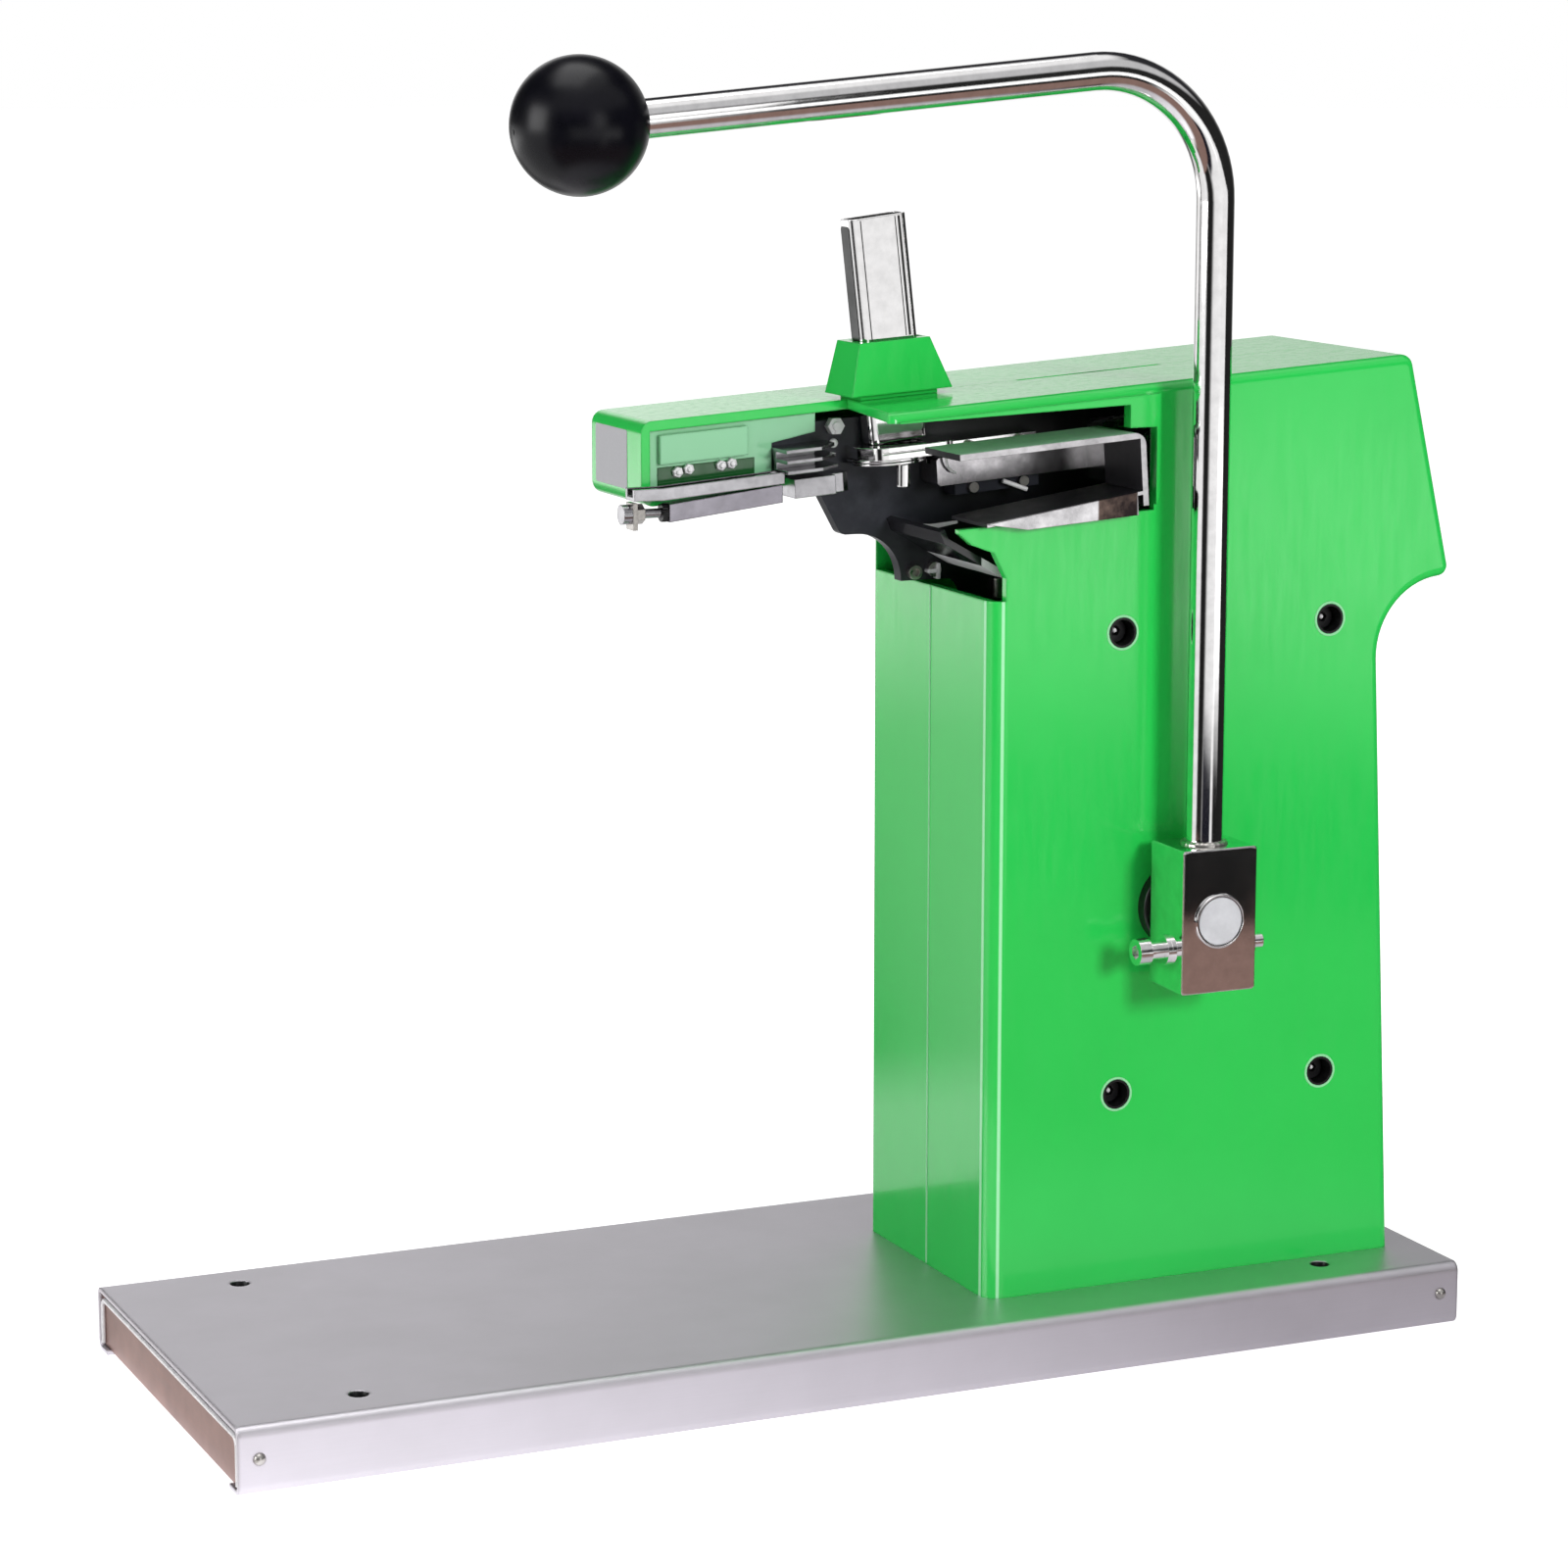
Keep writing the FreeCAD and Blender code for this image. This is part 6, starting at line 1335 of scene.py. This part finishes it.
@dataclass
class Arm:
    """Arm fittings: cover, rail, bar, nuts and the blank sticker on its end."""

    shop: Workshop
    end_x: float = -52.5
    sticker_y: Pair = (2.6, 29.4)
    sticker_z: Pair = (282.4, 301.0)
    sticker_thick: float = 0.12
    sticker_corner: float = 0.8
    face_y: float = -7.4
    gap: Pairs = ((-46.5, 283.0), (-46.5, 289.9), (-13.5, 291.9), (-13.5, 284.5))
    gap_thick: float = 0.2
    nut_spots: Pairs = (
        (-39.9, 288.4), (-36.2, 289.2), (-25.2, 289.9), (-21.6, 290.4))
    nut: Pairs = ((0, 0), (1.75, 0), (1.75, 1.5), (1.45, 1.8), (0, 1.8))
    screw: Pairs = ((0, 0), (0.85, 0), (0.85, 2.7), (0.6, 2.9), (0, 2.9))
    ring_x: float = -47.4
    ring_y: float = -12.3
    ring_z: float = 276.4
    ring_radius: float = 2.9
    ring_wide: float = 2.7
    ring_bore: float = 1.52
    knurl_steps: int = 36
    knurl_depth: float = 0.3

    def build(self) -> None:
        """Dress the arm and add its small fittings."""
        self.shop.dress(COVER_GREEN, "arm_cover")
        self.shop.dress(RAIL_STRIP, "arm_rail", "arm_bolt")
        self.shop.dress(LILAC_STRIP, "arm_bar")
        self.shop.dress(ZINC, "arm_bracket", "arm_nut")
        self.sticker()
        # painted shade: a dark green strip in the gap between the panel and the rail
        corners = [self.shop.at(x, self.face_y, z) for x, z in self.gap]
        form = self.shop.slab(corners, Vector((0, -self.gap_thick * MM, 0)))
        self.shop.piece("arm_gap_shade", form, SHADE_GREEN, Body.FRAME, Slot.BLACK)
        self.nuts()
        self.knurled_ring()

    def nuts(self) -> None:
        """Pairs of hexagon nuts on their screws, between the panel and the rail."""
        forms = []
        for x, z in self.nut_spots:
            foot = self.shop.at(x, self.face_y, z)
            forms.append(self.shop.turned(foot, NEARWARD, self.nut, 6))
            forms.append(self.shop.turned(foot, NEARWARD, self.screw, 16))
        piece = self.shop.piece("arm_nuts", self.shop.joined(forms), PALE_PLATE_AND_HIGHLIGHT, Body.FRAME, Slot.ZINC)
        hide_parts("arm_screws")

    def knurled_ring(self) -> None:
        """Black knurled ring on the bolt, against the bar's end."""
        outer, inner = [], []
        for k, turn in enumerate(around(self.knurl_steps)):
            reach = self.ring_radius - (self.knurl_depth if k % 2 else 0.0)
            for line, radius in ((outer, reach), (inner, self.ring_bore)):
                line.append(self.shop.at(self.ring_x, self.ring_y + radius * math.cos(turn),
                                         self.ring_z + radius * math.sin(turn)))
        form = self.shop.framed(outer, inner, Vector((self.ring_wide * MM, 0, 0)))
        self.shop.piece("arm_knurled_ring", form, BLACK_OXIDE_AND_SHADE, Body.FRAME, Slot.BLACK, Shading.KNURLED)

    def sticker(self) -> None:
        """Blank sticker on the arm's end face."""
        low = (self.sticker_y[0], self.sticker_z[0])
        high = (self.sticker_y[1], self.sticker_z[1])
        line = self.shop.rounded(low, high, self.sticker_corner)
        corners = [self.shop.at(self.end_x, y, z) for y, z in line]
        form = self.shop.slab(corners, Vector((-self.sticker_thick * MM, 0, 0)))
        self.shop.piece("arm_end_sticker", form, STICKER, Body.FRAME, Slot.HOUSING)


# ------------------------------------------------------------------ studio


@dataclass(frozen=True)
class SoftBox:
    """One soft rectangular light, with lengths in metres and its power in watts."""

    name: str
    spot: Point
    target: Point
    size: Pair
    power: float
    mirrored: bool = True

    def hang(self) -> None:
        """Hang the light at its spot, facing its target, hidden from the camera."""
        data = bpy.data.lights.new(self.name, "AREA")
        data.shape, data.size, data.size_y, data.energy = "RECTANGLE", *self.size, self.power
        light = bpy.data.objects.new(self.name, data)
        light.location = self.spot
        light.visible_camera = False
        light.visible_glossy = self.mirrored
        facing = Vector(self.target) - Vector(self.spot)
        light.rotation_euler = facing.to_track_quat("-Z", "Y").to_euler()
        bpy.context.scene.collection.objects.link(light)


@dataclass
class Studio:
    """Pale floor under a pale dome, soft boxes and the camera.

    Shiny surfaces see a darker room with bright panels round it, as they do between
    the flags and panels of a studio. Panels and windows are given by direction, in
    degrees or as shares of a turn from +X; reaches are in metres from the middle.
    """

    shop: Workshop
    floor_radius: float = 14.0
    lens: float = 99.68
    sensor: float = 36.0
    camera_spot: Point = (-554.61, -1258.60, 439.71)
    camera_pitch: float = -10.4968
    camera_turn: float = -23.7827
    boxes: tuple[SoftBox, ...] = (
        SoftBox("overhead_box", (-0.2, 0.2, 2.6), (0, 0, 0.1), (2.0, 1.5), 20),
        SoftBox("left_box", (-2.3, 0.08, 0.78), (-0.1, -0.07, 0.4), (1.3, 1.2), 24),
        SoftBox("front_box", (0.5, -2.4, 0.8), (-0.1, -0.07, 0.4), (0.85, 0.8), 3),
        SoftBox("key_box", (0.45, -2.25, 0.9), (0.1, -0.07, 0.2), (0.4, 0.5), 31, mirrored=False))
    dome_light: float = 0.3
    floor_glow: Pair = (0.05, 0.8)
    floor_panels: Pairs = (
        (0, 0.02), (14, 0.02), (32, 0.25), (48, 0.95), (84, 0.95), (94, 0.12), (104, 0.12), (116, 0.85),
        (192, 1.0), (199, 0.015), (226, 0.015), (239, 0.95), (287, 1.05), (295, 0.012), (360, 0.02))
    room_panels: Pairs = (
        (0, 0.02), (14, 0.02), (32, 0.2), (48, 0.5), (62, 0.8), (74, 1.25), (84, 1.3), (94, 0.05),
        (150, 0.05), (160, 0.95), (182, 0.95), (190, 0.02), (266, 0.02), (272, 0.9), (284, 0.9), (292, 0.02),
        (360, 0.02))
    ahead: Pair = (0.8, 0.88)
    behind: Pair = (0.295, 0.389)
    sweep_reach: Pair = (1.15, 1.8)
    glow_reach: Pair = (2.7, 3.4)
    glow: Pair = (2.1, 1.0)
    patch: Pair = (0.652, 0.768)
    patch_reach: Pair = (1.1, 1.32)
    patch_colour: Colour = (0.012, 0.012, 0.02)
    front_y: Pair = (-0.2, -0.12)
    front_reach: Pair = (0.775, 0.805)
    front_colour: Colour = (0.27, 0.17, 0.145)
    near_x: Pair = (-0.21, 0.15)
    near_reach: Pair = (0.27, 0.36)
    near_left: Colour = (1.5, 1.48, 1.53)
    near_right: Colour = (0.56, 0.54, 0.57)
    near_end_x: Pair = (-0.2165, -0.2135)
    near_end: Colour = (1.0, 0.98, 0.97)

    def build(self) -> None:
        """Lay the floor, hang the lights and set up the camera."""
        bpy.context.scene.view_settings.view_transform = "Standard"
        self.camera()
        self.floor()
        self.world()
        for box in self.boxes:
            box.hang()

    def camera(self) -> None:
        """Camera at the measured place."""
        data = bpy.data.cameras.new("camera")
        data.lens, data.sensor_width = self.lens, self.sensor
        data.clip_start, data.clip_end = 0.05, 60.0
        camera = bpy.data.objects.new("camera", data)
        camera.location = self.shop.at(*self.camera_spot)
        camera.rotation_euler = (math.radians(90 + self.camera_pitch), 0, math.radians(self.camera_turn))
        bpy.context.scene.collection.objects.link(camera)
        bpy.context.scene.camera = camera

    def floor(self) -> None:
        """Flat round floor."""
        form = bmesh.new()
        bmesh.ops.create_circle(form, cap_ends=True, segments=96, radius=self.floor_radius)
        mesh = bpy.data.meshes.new("pale_floor")
        form.to_mesh(mesh)
        form.free()
        mesh.materials.append(self.floor_material())
        floor = bpy.data.objects.new("pale_floor", mesh)
        bpy.context.scene.collection.objects.link(floor)

    @staticmethod
    def ramp(tree: Tree, share: Socket, panels: Pairs) -> Socket:
        """Brightness of the panels by direction.

        Args:
            tree: The tree that gets the ramp.
            share: Direction as a share of a turn.
            panels: Degrees and brightness of each stop, from 0 to 360.

        Returns:
            The brightness as a colour.
        """
        ramp = tree.add("ValToRGB", {0: share})
        stops = ramp.color_ramp.elements
        stops[0].position, stops[1].position = 0.0, 1.0
        for degrees, level in panels:
            stop = stops[0] if degrees == 0 else stops[-1] if degrees == 360 else stops.new(degrees / 360)
            stop.color = (level, level, level, 1.0)
        return ramp.outputs[0]

    def floor_material(self) -> Material:
        """Pale floor; shiny surfaces see the panels and flags that stand on it.

        Returns:
            The floor's material.
        """
        tree = Tree.material("pale_floor")
        where = tree.place()
        x, y, _ = tree.split(where)
        reach = tree.add("VectorMath", {0: where}, operation="LENGTH").outputs["Value"]
        share = tree.compass(x, y)
        seen = self.ramp(tree, share, self.floor_panels)
        ahead = tree.window(share, *self.ahead, 0.011)
        behind = tree.window(share, *self.behind, 0.022)
        sweep = tree.maths("MAXIMUM", ahead, behind)
        sweep = tree.maths("MULTIPLY", sweep, tree.rise(reach, *self.sweep_reach))
        seen = tree.blend(sweep, seen, tree.span(reach, *self.glow, *self.glow_reach))
        patch = tree.window(share, *self.patch, 0.01)
        patch = tree.maths("MULTIPLY", patch, tree.fall(reach, *self.patch_reach))
        seen = tree.blend(patch, seen, self.patch_colour)
        front = tree.maths("MULTIPLY", tree.fall(y, *self.front_y), tree.fall(reach, *self.front_reach))
        seen = tree.blend(front, seen, self.front_colour)
        near = tree.blend(tree.rise(x, *self.near_x), self.near_left, self.near_right)
        near = tree.blend(tree.fall(x, *self.near_end_x), near, self.near_end)
        seen = tree.blend(tree.fall(reach, *self.near_reach), seen, near)
        cloud = tree.noise(where, 0.4, 2.0)
        colour = tree.blend(tree.rise(cloud, 0.3, 0.7), (0.885, 0.885, 0.89), (0.89, 0.89, 0.895))
        rays = tree.add("LightPath").outputs
        glow = tree.span(rays["Is Camera Ray"], *self.floor_glow)
        pale = tree.add("BsdfPrincipled", {"Base Color": colour, "Roughness": 0.8, "Specular IOR Level": 0.1,
                                           "Emission Color": (1.0, 1.0, 1.0), "Emission Strength": glow})
        mirrored = tree.add("Emission", {"Color": seen})
        mixed = tree.add("MixShader", {0: rays["Is Glossy Ray"], 1: pale.outputs[0], 2: mirrored.outputs[0]})
        tree.add("OutputMaterial", {"Surface": mixed.outputs[0]})
        return tree.owner

    def world(self) -> None:
        """Even pale dome; shiny surfaces see the panels low down and a bright ceiling."""
        bpy.context.scene.world = bpy.data.worlds.new("studio")
        tree = Tree(bpy.context.scene.world)
        x, y, z = tree.split(tree.add("TexCoord").outputs["Generated"])
        seen = self.ramp(tree, tree.compass(x, y), self.room_panels)
        upper = tree.blend(tree.fall(y, -0.25, -0.05), (0.03, 0.03, 0.034), (0.6, 0.6, 0.61))
        seen = tree.blend(tree.rise(z, 0.35, 0.47), seen, upper)
        seen = tree.blend(tree.rise(z, 0.8, 0.88), seen, (1.0, 1.0, 1.0))
        rays = tree.add("LightPath").outputs
        level = tree.span(rays["Is Camera Ray"], self.dome_light, 1.0)
        dome = tree.add("Background", {"Color": (1.0, 1.0, 1.0), "Strength": level})
        room = tree.add("Background", {"Color": seen, "Strength": 1.0})
        mixed = tree.add("MixShader", {0: rays["Is Glossy Ray"], 1: dome.outputs[0], 2: room.outputs[0]})
        tree.add("OutputWorld", {"Surface": mixed.outputs[0]})


def main() -> None:
    """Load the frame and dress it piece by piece."""
    logging.basicConfig(level=logging.INFO, format="%(name)s: %(message)s")
    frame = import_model()
    shop = Workshop(frame, Shelf())
    Studio(shop).build()
    for assembly in (Base, Housing, Gear, Lever, Throat, Carriage, Magazine, Arm):
        assembly(shop).build()


if __name__ == "__main__":
    main()
